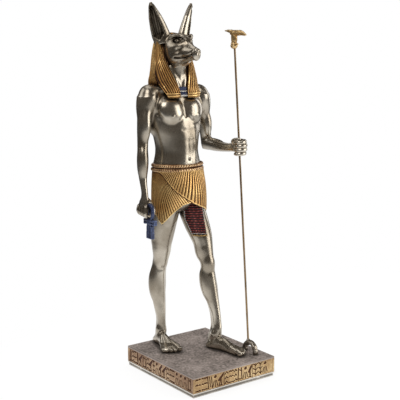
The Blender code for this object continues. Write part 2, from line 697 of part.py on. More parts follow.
def make_staff_head():
    """A slender animal's head on a flared socket, its muzzle towards -Y and a crest behind."""
    bm = bmesh.new()
    size = STAFF_HEAD_LENGTH / 23.0
    seat = staff_point(SOLE_HEIGHT + STAFF_TOP_HEIGHT)
    frame = Matrix.Translation(seat) @ Matrix.Scale(size, 4)
    limb(bm, [(0, 0.6, -4.6, 1.7, 1.7), (0, 0.2, -3.4, 2.1, 2.6), (0, -0.2, -1.6, 1.6, 2.0),
              (0, -0.9, 1.2, 1.5, 1.8), (0, -1.6, 4.4, 1.9, 2.6), (0, -2.6, 6.6, 2.0, 2.4)])
    limb(bm, [(0, 1.4, 6.6, 0.6, 0.7), (0, -1.2, 7.2, 1.8, 1.8), (0, -4.4, 6.9, 2.0, 2.1),
              (0, -8.6, 5.3, 1.4, 1.3), (0, -12.4, 3.2, 0.9, 0.8)])
    limb(bm, [(0, 0.0, 7.2, 1.3, 1.0), (0, 4.4, 7.6, 1.4, 0.8), (0, 9.6, 7.0, 0.6, 0.5)])
    made = to_object("staff_head", bm, frame)
    remesh = made.modifiers.new("Remesh", "REMESH")
    remesh.mode = "VOXEL"
    remesh.voxel_size = CLAY_VOXEL / 2
    thin = made.modifiers.new("Decimate", "DECIMATE")
    thin.ratio = STAFF_PART_THINNING
    apply_modifiers(made)
    top = SOLE_HEIGHT + STAFF_TOP_HEIGHT + SEAT_CLEARANCE
    bore_for_staff(made, top - STAFF_BORE_LENGTH, top, SEAT_CLEARANCE)
    finish(made, material("staff_gold", (0.62, 0.44, 0.18), 0.35, 0.9))


def make_staff_foot():
    """The forked end of the staff: a saddle with two hooves, standing on the plinth."""
    bm = bmesh.new()
    ground = PLINTH_HEIGHT + REST_GAP
    centre = staff_point(ground) + Vector((0, -STAFF_FOOT_LEAD, 0))
    half = STAFF_FOOT_LENGTH / 2
    wide = STAFF_FOOT_WIDTH / 2
    tall = STAFF_FOOT_HEIGHT
    rings = []
    steps = 16
    for index in range(steps + 1):
        turn = math.pi * index / steps
        out = -math.cos(turn)
        up = math.sin(turn) ** 0.8
        spot = Vector((0, -out * half * 0.86, up * (tall - wide * 0.8)))
        along = Vector((0, -out, 0.0))
        rise = Vector((0, 0, 1)) * up * 0.8
        thick = (along * (abs(out)) + rise).normalized() * wide * 0.62
        middle = centre + spot + Vector((0, 0, wide * 0.2))
        rings.append(oval(middle, Vector((wide, 0, 0)), thick, 10))
    skin(bm, rings)
    made = to_object("staff_foot", bm)
    remesh = made.modifiers.new("Remesh", "REMESH")
    remesh.mode = "VOXEL"
    remesh.voxel_size = CLAY_VOXEL / 2
    apply_modifiers(made)
    for vertex in made.data.vertices:
        vertex.co.z = max(vertex.co.z, ground)
    thin = made.modifiers.new("Decimate", "DECIMATE")
    thin.ratio = STAFF_PART_THINNING
    apply_modifiers(made)
    bore_for_staff(made, ground + tall - STAFF_SEAT_DEPTH - SEAT_CLEARANCE, ground + tall * 2, SEAT_CLEARANCE)
    finish(made, material("staff_foot_bronze", (0.16, 0.13, 0.10), 0.4, 0.85))


def main():
    clear_scene()
    make_plinth()
    make_figure()
    make_staff_rod()
    make_staff_head()
    make_staff_foot()


main()
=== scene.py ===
"""Visual model of a cast jackal-headed deity on a plinth, with a long staff.

Carved forms are drawn as fields in figure units (one millimetre, z above the soles) and meshed here.
"""

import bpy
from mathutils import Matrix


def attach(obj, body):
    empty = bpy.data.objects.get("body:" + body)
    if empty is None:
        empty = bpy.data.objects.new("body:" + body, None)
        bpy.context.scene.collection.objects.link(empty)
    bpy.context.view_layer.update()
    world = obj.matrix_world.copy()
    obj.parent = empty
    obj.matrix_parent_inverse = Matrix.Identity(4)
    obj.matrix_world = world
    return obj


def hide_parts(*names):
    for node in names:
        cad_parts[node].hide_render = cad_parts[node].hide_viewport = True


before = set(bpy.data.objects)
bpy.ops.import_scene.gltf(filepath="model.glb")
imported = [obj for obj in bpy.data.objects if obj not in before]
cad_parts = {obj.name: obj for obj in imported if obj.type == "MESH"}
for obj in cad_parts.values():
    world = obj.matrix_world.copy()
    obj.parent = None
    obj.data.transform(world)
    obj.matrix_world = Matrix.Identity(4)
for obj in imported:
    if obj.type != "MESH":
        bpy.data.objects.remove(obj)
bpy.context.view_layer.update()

import math

import bpy
import numpy as np
from mathutils import Vector

MM = 0.001
SOLE = 16.8
PLINTH = (80, 91, 16.5)
PLINTH_FOOT = 2.6
RIM_HEIGHT = 1.6
BODY_MIDDLE = -1
KILT_MIDDLE = -0.5
KILT_TOP = 147
GRIP = np.array((29, -12.8, 164.8))
STAFF_LOW = np.array((30, -25.6, 0))
STAFF_RADIUS = 0.8
STAFF_TOP = 247
FAR_OUTSIDE = 6
CAMERA_WHITE = (1, 1, 1, 1)
REFLECTED_ROOM = (0.066, 0.053, 0.04, 1)
SOFT_FILL = (1, 0.98, 0.95, 1)
FLOOR_WHITE = (0.8, 0.8, 0.8, 1)
FLOOR_SHADE = (0.788, 0.788, 0.788, 1)


# Numbers and fields
def smooth_rows(rows, steps=8):
    """Rows of numbers, filled in along a smooth curve that passes through every row."""
    filled = []
    for index in range(len(rows) - 1):
        before, start = np.array(rows[max(index - 1, 0)], float), np.array(rows[index], float)
        end, after = np.array(rows[index + 1], float), np.array(rows[min(index + 2, len(rows) - 1)], float)
        for step in range(steps):
            t = step / steps
            filled.append(0.5 * (2 * start + (end - before) * t + (2 * before - 5 * start + 4 * end - after)
                * t * t + (3 * start - before - 3 * end + after) * t ** 3))
    filled.append(np.array(rows[-1], float))
    return np.array(filled)


def along_path(rows, x, y, z):
    """For each straight run of a path: its two rows, the share of the way along it and the squared gap."""
    for a, b in zip(rows[:-1], rows[1:]):
        way = b[:3] - a[:3]
        length = max(float(way @ way), 1e-9)
        t = np.clip(((x - a[0]) * way[0] + (y - a[1]) * way[1] + (z - a[2]) * way[2]) / length, 0, 1)
        gap = (x - a[0] - t * way[0]) ** 2 + (y - a[1] - t * way[1]) ** 2 + (z - a[2] - t * way[2]) ** 2
        yield a, b, t, gap


class Clay:
    """A block of space whose field is below zero inside the form."""

    def __init__(self, low, high, step):
        self.step = step
        self.low = np.array(low, float)
        counts = np.ceil((np.array(high, float) - self.low) / step).astype(int) + 1
        self.axes = [self.low[i] + step * np.arange(counts[i]) for i in range(3)]
        self.field = np.full(counts, FAR_OUTSIDE, np.float32)

    def part(self, low, high):
        """The slices of the grid within a box, and its coordinates."""
        cut = []
        for i in range(3):
            a = np.searchsorted(self.axes[i], low[i])
            b = np.searchsorted(self.axes[i], high[i], side="right")
            cut.append(slice(a, b))
        x = self.axes[0][cut[0]][:, None, None].astype(np.float32)
        y = self.axes[1][cut[1]][None, :, None].astype(np.float32)
        z = self.axes[2][cut[2]][None, None, :].astype(np.float32)
        return tuple(cut), x, y, z

    def blend(self, cut, distance, soft, remove=False):
        """Join a form to the block, or cut it away, with a seam as soft as the width given."""
        sign = -1 if remove else 1
        old = sign * self.field[cut]
        if old.size == 0:
            return
        new = np.minimum(old, distance)
        if soft > 0:
            near = np.clip(soft - np.abs(old - distance), 0, None) / soft
            new = new - near * near * soft / 4
        self.field[cut] = sign * new

    def loft(self, rows, squareness=2.2, soft=3, axis=2):
        """A form from rows of place along an axis, two centre places and two half-widths."""
        rows = smooth_rows(rows)
        rows = rows[np.argsort(rows[:, 0])]
        others = [i for i in range(3) if i != axis]
        reach = soft + 3
        low, high = [0] * 3, [0] * 3
        low[axis], high[axis] = rows[0, 0] - reach, rows[-1, 0] + reach
        for k, i in enumerate(others):
            low[i] = (rows[:, 1 + k] - rows[:, 3 + k]).min() - reach
            high[i] = (rows[:, 1 + k] + rows[:, 3 + k]).max() + reach
        cut, *places = self.part(low, high)
        along = places[axis]
        a, b, ra, rb = (np.interp(along, rows[:, 0], rows[:, c]).astype(np.float32) for c in (1, 2, 3, 4))
        u = np.abs(places[others[0]] - a) / ra
        v = np.abs(places[others[1]] - b) / rb
        distance = ((u ** squareness + v ** squareness) ** (1 / squareness) - 1) * np.minimum(ra, rb)
        ends = np.maximum(rows[0, 0] - along, along - rows[-1, 0])
        self.blend(cut, np.maximum(distance, ends), soft)

    def ball(self, centre, radii, soft=3, turn=0, tilt=0, remove=False):
        """An ellipsoid, tilted about X and then turned about the upright, in degrees."""
        reach = max(radii) + soft + 2
        cut, x, y, z = self.part([c - reach for c in centre], [c + reach for c in centre])
        x, y, z = x - centre[0], y - centre[1], z - centre[2]
        c, s = math.cos(math.radians(turn)), math.sin(math.radians(turn))
        x, y = c * x + s * y, c * y - s * x
        c, s = math.cos(math.radians(tilt)), math.sin(math.radians(tilt))
        y, z = c * y + s * z, c * z - s * y
        a, b, d = radii
        near = np.sqrt((x / a) ** 2 + (y / b) ** 2 + (z / d) ** 2)
        slope = np.sqrt((x / a ** 2) ** 2 + (y / b ** 2) ** 2 + (z / d ** 2) ** 2)
        self.blend(cut, near * (near - 1) / np.maximum(slope, 1e-6), soft, remove)

    def limb(self, points, soft=2, remove=False, smooth=True):
        """A round form along a path, from rows of x, y, z and radius."""
        rows = smooth_rows(points, 4) if smooth and len(points) > 2 else np.array(points, float)
        reach = rows[:, 3].max() + soft + 2
        cut, x, y, z = self.part(rows[:, :3].min(0) - reach, rows[:, :3].max(0) + reach)
        gaps = [np.sqrt(gap) - (a[3] + (b[3] - a[3]) * t) for a, b, t, gap in along_path(rows, x, y, z)]
        self.blend(cut, np.min(gaps, axis=0), soft, remove)

    def groove(self, points, width, depth):
        """Sink a soft line along a path."""
        rows = np.array(points, float)
        reach = width * 3
        cut, x, y, z = self.part(rows.min(0) - reach, rows.max(0) + reach)
        gaps = [gap for *_, gap in along_path(rows, x, y, z)]
        self.field[cut] += depth * np.exp(-np.min(gaps, axis=0) / width ** 2)

    def box(self, low, high, rounding, soft):
        """A block with rounded edges."""
        cut, *places = self.part([v - soft - 2 for v in low], [v + soft + 2 for v in high])
        parts = [np.abs(place - (a + b) / 2) - ((b - a) / 2 - rounding) for place, a,
            b in zip(places, low, high)]
        outside = np.sqrt(sum(np.maximum(p, 0) ** 2 for p in parts))
        inside = np.minimum(np.maximum(np.maximum(parts[0], parts[1]), parts[2]), 0)
        self.blend(cut, outside + inside - rounding, soft)

    def outer_x(self, side, y, z):
        """Where the form's outer skin lies on one side, at a depth and a height."""
        line = self.field[:, np.searchsorted(self.axes[1], y), np.searchsorted(self.axes[2], z)]
        filled = self.axes[0][line < 0]
        return filled.max() if side > 0 else filled.min()

    def mesh(self):
        """Points and quads where the field crosses zero."""
        f = self.field
        for face in (f[0], f[-1], f[:, 0], f[:, -1], f[:, :, 0], f[:, :, -1]):
            face[...] = FAR_OUTSIDE
        inside = f < 0
        count = np.zeros(np.array(f.shape) - 1, np.int8)
        corners = [(i, j, k) for i in (0, 1) for j in (0, 1) for k in (0, 1)]
        nx, ny, nz = count.shape
        for i, j, k in corners:
            count += inside[i:i + nx, j:j + ny, k:k + nz]
        cells = np.argwhere((count > 0) & (count < 8))
        values = {c: f[cells[:, 0] + c[0], cells[:, 1] + c[1], cells[:, 2] + c[2]] for c in corners}
        total, number = np.zeros((len(cells), 3)), np.zeros(len(cells))
        for c in corners:
            for axis in range(3):
                if c[axis]:
                    continue
                a, b = values[c], values[tuple(c[i] + (i == axis) for i in range(3))]
                crossing = (a < 0) != (b < 0)
                place = np.zeros((len(cells), 3)) + c
                place[:, axis] += np.where(crossing, a / np.where(crossing, a - b, 1), 0)
                total += place * crossing[:, None]
                number += crossing
        points = self.low + self.step * (cells + total / number[:, None])
        index = np.full(count.shape, -1, np.int32)
        index[tuple(cells.T)] = np.arange(len(cells))
        quads = []
        for axis in range(3):
            a = inside[tuple(slice(0, -1) if i == axis else slice(1, -1) for i in range(3))]
            b = inside[tuple(slice(1, None) if i == axis else slice(1, -1) for i in range(3))]
            edges = np.argwhere(a != b)
            out = a[tuple(edges.T)]
            edges = edges + np.array([int(i != axis) for i in range(3)])
            u, v = [i for i in range(3) if i != axis]
            steps = []
            for du, dv in ((0, 0), (1, 0), (1, 1), (0, 1)):
                spot = edges.copy()
                spot[:, u] -= du
                spot[:, v] -= dv
                steps.append(index[tuple(spot.T)])
            quad = np.stack(steps, 1)
            flip = out if axis != 1 else ~out
            quad[~flip] = quad[~flip][:, ::-1]
            quads.append(quad)
        return points, np.concatenate(quads)


class Local:
    """A clay worked from a place of its own, where x runs outwards on the side given."""

    def __init__(self, clay, side, origin):
        self.clay, self.side, self.origin = clay, side, origin

    def placed(self, row):
        """A row's place in the clay's own units; what follows x, y and z stays."""
        ox, oy, oz = self.origin
        return (ox + self.side * row[0], oy + row[1], oz + row[2], *row[3:])

    def ball(self, centre, radii, soft=3, turn=0, tilt=0, remove=False):
        self.clay.ball(self.placed(centre), radii, soft, self.side * turn, tilt, remove)

    def limb(self, points, soft=2, smooth=True):
        self.clay.limb([self.placed(row) for row in points], soft, smooth=smooth)

    def groove(self, points, width, depth):
        self.clay.groove([self.placed(row) for row in points], width, depth)


def halves(clay, middle=0):
    """The right and the left half of a form, about an upright plane."""
    return [Local(clay, side, (middle, 0, 0)) for side in (-1, 1)]


def to_piece(name, points, quads, surface, node, sunk=None):
    """Make a mesh object from millimetres and let it stand for a CAD node."""
    points = points + np.array((0, 0, 0 if node == "plinth" else SOLE))
    mesh = bpy.data.meshes.new(name)
    mesh.vertices.add(len(points))
    mesh.vertices.foreach_set("co", (points * MM).astype(np.float32).ravel())
    quads = np.asarray(quads, np.int32)
    mesh.loops.add(quads.size)
    mesh.loops.foreach_set("vertex_index", quads.ravel())
    mesh.polygons.add(len(quads))
    mesh.polygons.foreach_set("loop_start", np.arange(0, quads.size, 4, dtype=np.int32))
    mesh.update(calc_edges=True)
    mesh.validate()
    # The sunk attribute carries painted shade to the material, and painted light where it is below zero.
    layer = mesh.attributes.new("sunk", "FLOAT", "POINT")
    layer.data.foreach_set("value", np.zeros(len(points),
        np.float32) if sunk is None else sunk.astype(np.float32))
    mesh.shade_smooth()
    made = bpy.data.objects.new(name, mesh)
    bpy.context.collection.objects.link(made)
    mesh.materials.append(surface)
    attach(made, "root")
    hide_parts(node)
    return made


def clay_piece(name, clay, surface, node, shade=None):
    """Mesh a clay, flat at the soles, and make a piece of it."""
    points, quads = clay.mesh()
    points[:, 2] = np.maximum(points[:, 2], 0)
    to_piece(name, points, quads, surface, node, shade(points) if shade else None)


def sheet_piece(name, points, surface, node, sunk=None, closed=True, flip=False):
    """Make a piece of a grid of points, row by row; a closed one joins each row's ends."""
    rows, columns = points.shape[:2]
    r = np.arange(rows - 1)[:, None]
    c = np.arange(columns if closed else columns - 1)[None, :]
    after = (c + 1) % columns
    quads = np.stack(np.broadcast_arrays(r * columns + c, r * columns + after, (r + 1) * columns + after,
        (r + 1) * columns + c), -1).reshape(-1, 4)
    if flip:
        quads = quads[:, ::-1]
    return to_piece(name, points.reshape(-1, 3), quads, surface, node,
        None if sunk is None else sunk.ravel())


# Materials
class Nodes:
    """The node tree of a material or a world, with its nodes' inputs set to values or joined to outputs."""

    def __init__(self, owner):
        owner.use_nodes = True
        self.tree = owner.node_tree

    def join(self, made, inputs):
        for key, value in inputs.items():
            if isinstance(value, bpy.types.NodeSocket):
                self.tree.links.new(value, made.inputs[key])
            else:
                made.inputs[key].default_value = value

    def make(self, kind, output, inputs, **settings):
        """A new node's output, by name or number."""
        made = self.tree.nodes.new("ShaderNode" + kind)
        for key, value in settings.items():
            setattr(made, key, value)
        self.join(made, inputs)
        return made.outputs[output]

    def span(self, value, from_low, from_high, to_low=0, to_high=1):
        return self.make("MapRange", "Result", {"Value": value, "From Min": from_low, "From Max": from_high,
            "To Min": to_low, "To Max": to_high})

    def combine(self, operation, first, second):
        return self.make("Math", 0, {0: first, 1: second}, operation=operation)

    def colour_mix(self, share, first, second):
        return self.make("Mix", 2, {0: share, 6: first, 7: second}, data_type="RGBA")

    def ramp(self, value, dark, mid, light):
        made = self.tree.nodes.new("ShaderNodeValToRGB")
        made.color_ramp.elements[0].color = (*dark, 1)
        made.color_ramp.elements[1].color = (*light, 1)
        made.color_ramp.elements.new(0.45).color = (*mid, 1)
        self.join(made, {"Fac": value})
        return made.outputs["Color"]


def metal(name, dark, mid, light, rough, metallic=0.9, grain=0, grain_size=900, patch=0.3, edge_highlight=0.3):
    """Metal paint: painted shade in hollows, painted highlight on raised edges, slow patches of tone."""
    made = bpy.data.materials.new(name)
    nodes = Nodes(made)
    place = nodes.make("TexCoord", "Object", {})
    hollow = nodes.make("AmbientOcclusion", "AO", {"Distance": 0.004}, samples=8)
    edge = nodes.make("NewGeometry", "Pointiness", {})
    slow = nodes.make("TexNoise", "Fac", {"Vector": place, "Scale": 55, "Detail": 5})
    sunk = nodes.make("Attribute", "Fac", {}, attribute_name="sunk")
    # Painted shade and highlight: occlusion darkens hollows, pointiness darkens creases and lightens raised
    # edges, and the sunk attribute adds painted shade (painted light where it is below zero).
    tone = nodes.combine("MULTIPLY", nodes.span(hollow, 0.25, 0.95), 0.62)
    tone = nodes.combine("ADD", tone, nodes.span(edge, 0.46, 0.56, -edge_highlight, edge_highlight))
    tone = nodes.combine("ADD", tone, nodes.span(slow, 0.3, 0.7, -patch / 2, patch / 2))
    tone = nodes.combine("SUBTRACT", tone, nodes.combine("MULTIPLY", sunk, 0.75))
    shader = made.node_tree.nodes["Principled BSDF"]
    nodes.join(shader, {"Base Color": nodes.ramp(tone, dark, mid, light), "Metallic": metallic,
        "Roughness": nodes.span(tone, 0, 0.9, rough[1], rough[0])})
    if grain:
        fine = nodes.make("TexNoise", "Fac", {"Vector": place, "Scale": grain_size, "Detail": 3})
        bump = nodes.make("Bump", "Normal", {"Strength": grain, "Distance": 0.0003, "Height": fine})
        nodes.join(shader, {"Normal": bump})
    return made


SKIN = metal("bronze_skin", (0.02, 0.014, 0.009), (0.252, 0.214, 0.164), (0.7, 0.65, 0.56),
    rough=(0.2, 0.36), metallic=0.94, grain=0.06, edge_highlight=0.18)
GOLD = metal("gold_cloth", (0.04, 0.013, 0.005), (0.5, 0.256, 0.074), (0.98, 0.7, 0.3), rough=(0.2, 0.44),
    metallic=0.68, grain=0.1, patch=0.4, edge_highlight=0.4)
BELT = metal("belt_copper", (0.05, 0.02, 0.01), (0.36, 0.19, 0.085), (0.82, 0.62, 0.37), rough=(0.22, 0.45),
    metallic=0.8, grain=0.1, patch=0.5)
TRIM = metal("gold_trim", (0.07, 0.03, 0.012), (0.58, 0.36, 0.12), (0.92, 0.72, 0.36), rough=(0.22, 0.42),
    metallic=0.8, patch=0.2)
NAVY = metal("blue_enamel", (0.002, 0.0025, 0.007), (0.005, 0.008, 0.034), (0.1, 0.13, 0.24),
    rough=(0.22, 0.42), metallic=0.45, grain=0.15, patch=0.35, edge_highlight=0.55)
SILVER = metal("collar_silver", (0.07, 0.062, 0.055), (0.5, 0.49, 0.46), (0.9, 0.9, 0.88),
    rough=(0.25, 0.45), patch=0.2)
MAROON = metal("red_enamel", (0.012, 0.001, 0.001), (0.13, 0.009, 0.008), (0.42, 0.13, 0.1),
    rough=(0.28, 0.5), metallic=0.35, grain=0.12, patch=0.25)
PEBBLED = metal("plinth_top", (0.11, 0.092, 0.08), (0.36, 0.305, 0.28), (0.6, 0.55, 0.5), rough=(0.38, 0.6),
    metallic=0.45, grain=0.4, grain_size=1300, edge_highlight=0.12)
FRIEZE = metal("frieze_gold", (0.085, 0.034, 0.014), (0.35, 0.225, 0.105), (0.86, 0.67, 0.38),
    rough=(0.3, 0.5), metallic=0.7, grain=0.15, patch=0.35)
# Painted shade: a darker copy of the frieze gold for the side toward the figure's right, away from the key
# light.
SHADED_FRIEZE = metal("frieze_shaded", (0.07, 0.027, 0.014), (0.25, 0.148, 0.082), (0.74, 0.56, 0.36),
    rough=(0.3, 0.5), metallic=0.7, grain=0.15, patch=0.4)
BAND = metal("plinth_silver", (0.05, 0.043, 0.037), (0.3, 0.275, 0.24), (0.66, 0.62, 0.56),
    rough=(0.3, 0.5), metallic=0.7, grain=0.2)
ROD = metal("staff_bronze", (0.018, 0.01, 0.006), (0.07, 0.044, 0.022), (0.3, 0.2, 0.1), rough=(0.25, 0.45),
    metallic=0.7, grain=0.08, patch=0.5)
PALE_GOLD = metal("staff_gold", (0.05, 0.022, 0.009), (0.44, 0.27, 0.1), (0.95, 0.76, 0.46),
    rough=(0.22, 0.4), metallic=0.85)
DARK_BRONZE = metal("staff_foot_bronze", (0.02, 0.016, 0.012), (0.13, 0.105, 0.08), (0.5, 0.46, 0.4),
    rough=(0.22, 0.42))


# The body
def shape_torso(clay):
    """Chest, belly and neck, with the breast, ribs, navel and spine."""
    clay.loft([(112, -0.5, 30, 14, 11), (120, -0.5, 30, 19, 14.6), (138, -0.5, 30, 20, 14.8),
        (149, -0.8, 30, 20, 14.5), (154, -0.9, 29.9, 18.9, 14), (159, -1, 29.8, 18.1, 13.3),
        (164, -1, 29.8, 18.3, 13.1), (170, -1, 30.2, 19.4, 13.2), (177, -1, 30.7, 21.2, 13.4),
        (184, -1, 31, 22.2, 13.3), (191, -1, 31.6, 22.6, 12.7), (198, -1, 32.6, 22.4, 11.5),
        (204, -1, 33.4, 21, 10.2), (210, -1, 33.8, 15.5, 8.4),
        (215, -1, 33.6, 9.5, 7.2)], squareness=2.3, soft=2)
    m = BODY_MIDDLE
    clay.loft([(142, 0.6, 21, 8.2, 5.6), (150, 0.8, 20.6, 8.2, 5.8), (158, 1.4, 20.6, 8.2, 5.7),
        (166, 1.8, 20.8, 8.2, 5.5), (174, 1.6, 21.4, 8.2, 5.4), (182, 0.8, 22.2, 7.6, 5),
        (187, 0, 23, 5.6, 4.2), (190, -0.4, 23.6, 3, 3)], squareness=3.4, soft=3.6)
    for half in halves(clay, m):
        half.ball((10.6, 24.6, 193), (11.2, 7.2, 10.4), soft=2.2, turn=14, tilt=-8)
        half.ball((9, 21.4, 188), (8.4, 4, 5.6), soft=3, turn=10)
        half.ball((18.8, 36, 189), (5.2, 8.2, 14), soft=4)
        half.ball((11, 41.2, 197), (8.6, 3.8, 10.5), soft=4)
        half.ball((14.5, 33.6, 206.4), (13, 6.4, 5.2), soft=4)
        half.limb([(1.8, 23.4, 207, 1), (9, 23.6, 208.4, 1), (17, 27.2, 209.2, 1.3),
            (22.6, 31.4, 209.6, 1.5)], soft=3)
        half.groove([(1.4, 16.6, 189.4), (5.2, 16, 184.6), (10.4, 16.4, 182), (15.6, 18, 182.6),
            (19, 21, 185.6), (20.6, 25, 191)], 1.5, 0.75)
        half.groove([(21, 25, 204), (21.8, 24.4, 196), (21.6, 25, 190)], 1.5, 0.8)
        half.ball((11.8, 17.4, 188.2), (0.8, 0.8, 0.8), soft=0.8)
        half.groove([(5, 46.4, 186), (12, 45.4, 188), (17, 43.6, 196)], 2, 0.9)
    clay.groove([(m, 16.8, 204), (m + 0.2, 16.4, 196), (m + 0.4, 17.4, 188)], 1.2, 0.8)
    clay.groove([(1, 16, 181), (2, 15.4, 172), (2, 15, 162), (0.8, 14.8, 156)], 1.3, 0.2)
    clay.ball((0.5, 14, 153.9), (0.75, 1.5, 1.1), soft=0.7, remove=True)
    for z, depth in ((176.6, 0.34), (168.4, 0.1)):
        clay.groove([(-4, 16.2, z + 0.9), (1.6, 15.2, z), (7.6, 16.4, z + 0.9)], 1.5, depth)
    clay.groove([(m, 46, 204), (m, 46.6, 186), (m, 44.6, 168), (m, 45, 150)], 2.2, 1.3)
    clay.limb([(-0.7, 32, 200, 9), (-0.5, 30.6, 210, 7.4), (-0.3, 30.4, 220, 6.7), (0, 29.4, 232, 7.6)],
        soft=4)
    for half in halves(clay, m):
        half.limb([(1.8, 23, 206.5, 1.3), (4.6, 25, 216, 1.5), (6.8, 29.5, 226, 1.6)], soft=2.5)


def shape_arms(clay):
    """The right arm hangs with a closed hand; the left one is bent, with its fist round the staff."""
    clay.ball((-26.4, 33, 202.2), (7.4, 8.2, 10.4), soft=4)
    clay.ball((-30.6, 33, 196), (4.6, 5.8, 9.4), soft=3)
    clay.loft([(117, -34.4, 26.6, 2.8, 4.6), (124, -34.5, 26.2, 2.7, 3.7), (129, -34.5, 26.2, 2.5, 2.9),
        (135, -34.4, 27.6, 2.7, 2.9), (140, -34.2, 28.8, 3.1, 3.3), (147, -33.9, 29.6, 3.7, 4),
        (155, -33.4, 30.2, 4.1, 4.4), (162, -32.8, 31, 4.1, 4.4), (170, -32.1, 31.7, 4.3, 4.6),
        (178, -31.4, 31.9, 4.8, 5.3), (186, -30.4, 32.2, 5.3, 5.9), (194, -29.2, 32.6, 5.8, 6.4),
        (203, -27.6, 33, 6.2, 7.2)], squareness=2, soft=3)
    clay.ball((-31.6, 28.4, 181), (3.4, 3.2, 9.4), soft=4)
    clay.ball((-34.5, 28.4, 153), (3, 3.4, 9), soft=4)
    clay.ball((-34, 27.4, 119.4), (3.3, 6, 5.2), soft=2)
    for index, y in enumerate((22, 25.4, 28.7, 31.8)):
        drop = 0.5 * index
        clay.limb([(-35.9, y, 117.8, 1.85), (-37, y - 0.2, 113.2 + drop, 1.75),
            (-35.4, y - 0.2, 110.6 + drop, 1.65), (-32.2, y, 111.6 + drop, 1.6),
            (-31.2, y, 115.4, 1.6)], soft=0.45)
    clay.limb([(-32.6, 24.6, 122.6, 2.2), (-31.8, 20.6, 119.8, 1.9), (-32.2, 17.6, 116.6, 1.7),
        (-33, 16.4, 113.6, 1.45)], soft=0.8)
    clay.ball((24.6, 33, 201), (7.3, 8, 10), soft=4)
    clay.ball((28.6, 33.2, 196), (4.6, 5.8, 8.8), soft=3)
    clay.loft([(158.2, 33.6, 36.2, 3, 3), (161.4, 33.5, 36.2, 3.7, 3.8), (166, 33.2, 36.2, 4.2, 4.5),
        (174, 32, 35.8, 4.6, 5.1), (183, 29.8, 34.8, 5.1, 5.8), (193, 26.8, 33.8, 5.9, 6.6),
        (203, 25, 33.2, 6.2, 7.2)], squareness=2, soft=3)
    clay.ball((30.4, 31, 178), (3.4, 3.4, 8), soft=4)
    clay.loft([(37, 33.4, 163.4, 3.3, 3.9), (32, 33.3, 162.8, 4.4, 4.9), (23, 32.6, 162.2, 4.2, 4.6),
        (13, 31.6, 162.1, 3.5, 4), (4, 30.6, 162.4, 2.8, 3.5), (-1, 30.5, 163, 2.9, 3.6),
        (-5, 30.9, 164, 3.1, 4.3)], squareness=2, soft=2.5, axis=1)
    clay.ball((33.4, 24, 164.2), (3, 9, 2.7), soft=3.5)
    clay.ball((31.6, -8, 164.4), (3.1, 5, 5.7), soft=1.5)
    for index, z in enumerate((159.7, 162.8, 165.9, 168.8)):
        lean = 0.3 * (index - 1.5)
        inward = 0.5 * abs(index - 1.5) - 0.25
        clay.limb([(33.2 - inward, -8.8 - lean, z, 1.7), (33.5 - inward, -13.8 - lean, z, 1.65),
            (31.6 - inward, -17.2 + inward, z - 0.2, 1.62), (28, -17.8 + inward, z - 0.5, 1.55),
            (25.6, -15.6, z - 0.7, 1.5), (25.4, -12.6, z - 0.7, 1.4)], soft=0.35)
    clay.limb([(29.2, -5.6, 166.6, 2), (26.8, -8, 168.6, 1.85), (26.2, -11.2, 170, 1.6),
        (27.6, -14.4, 170.6, 1.35)], soft=0.7)
    clay.ball((29.2, -9, 164.4), (2.6, 3.4, 5.2), soft=1.5)


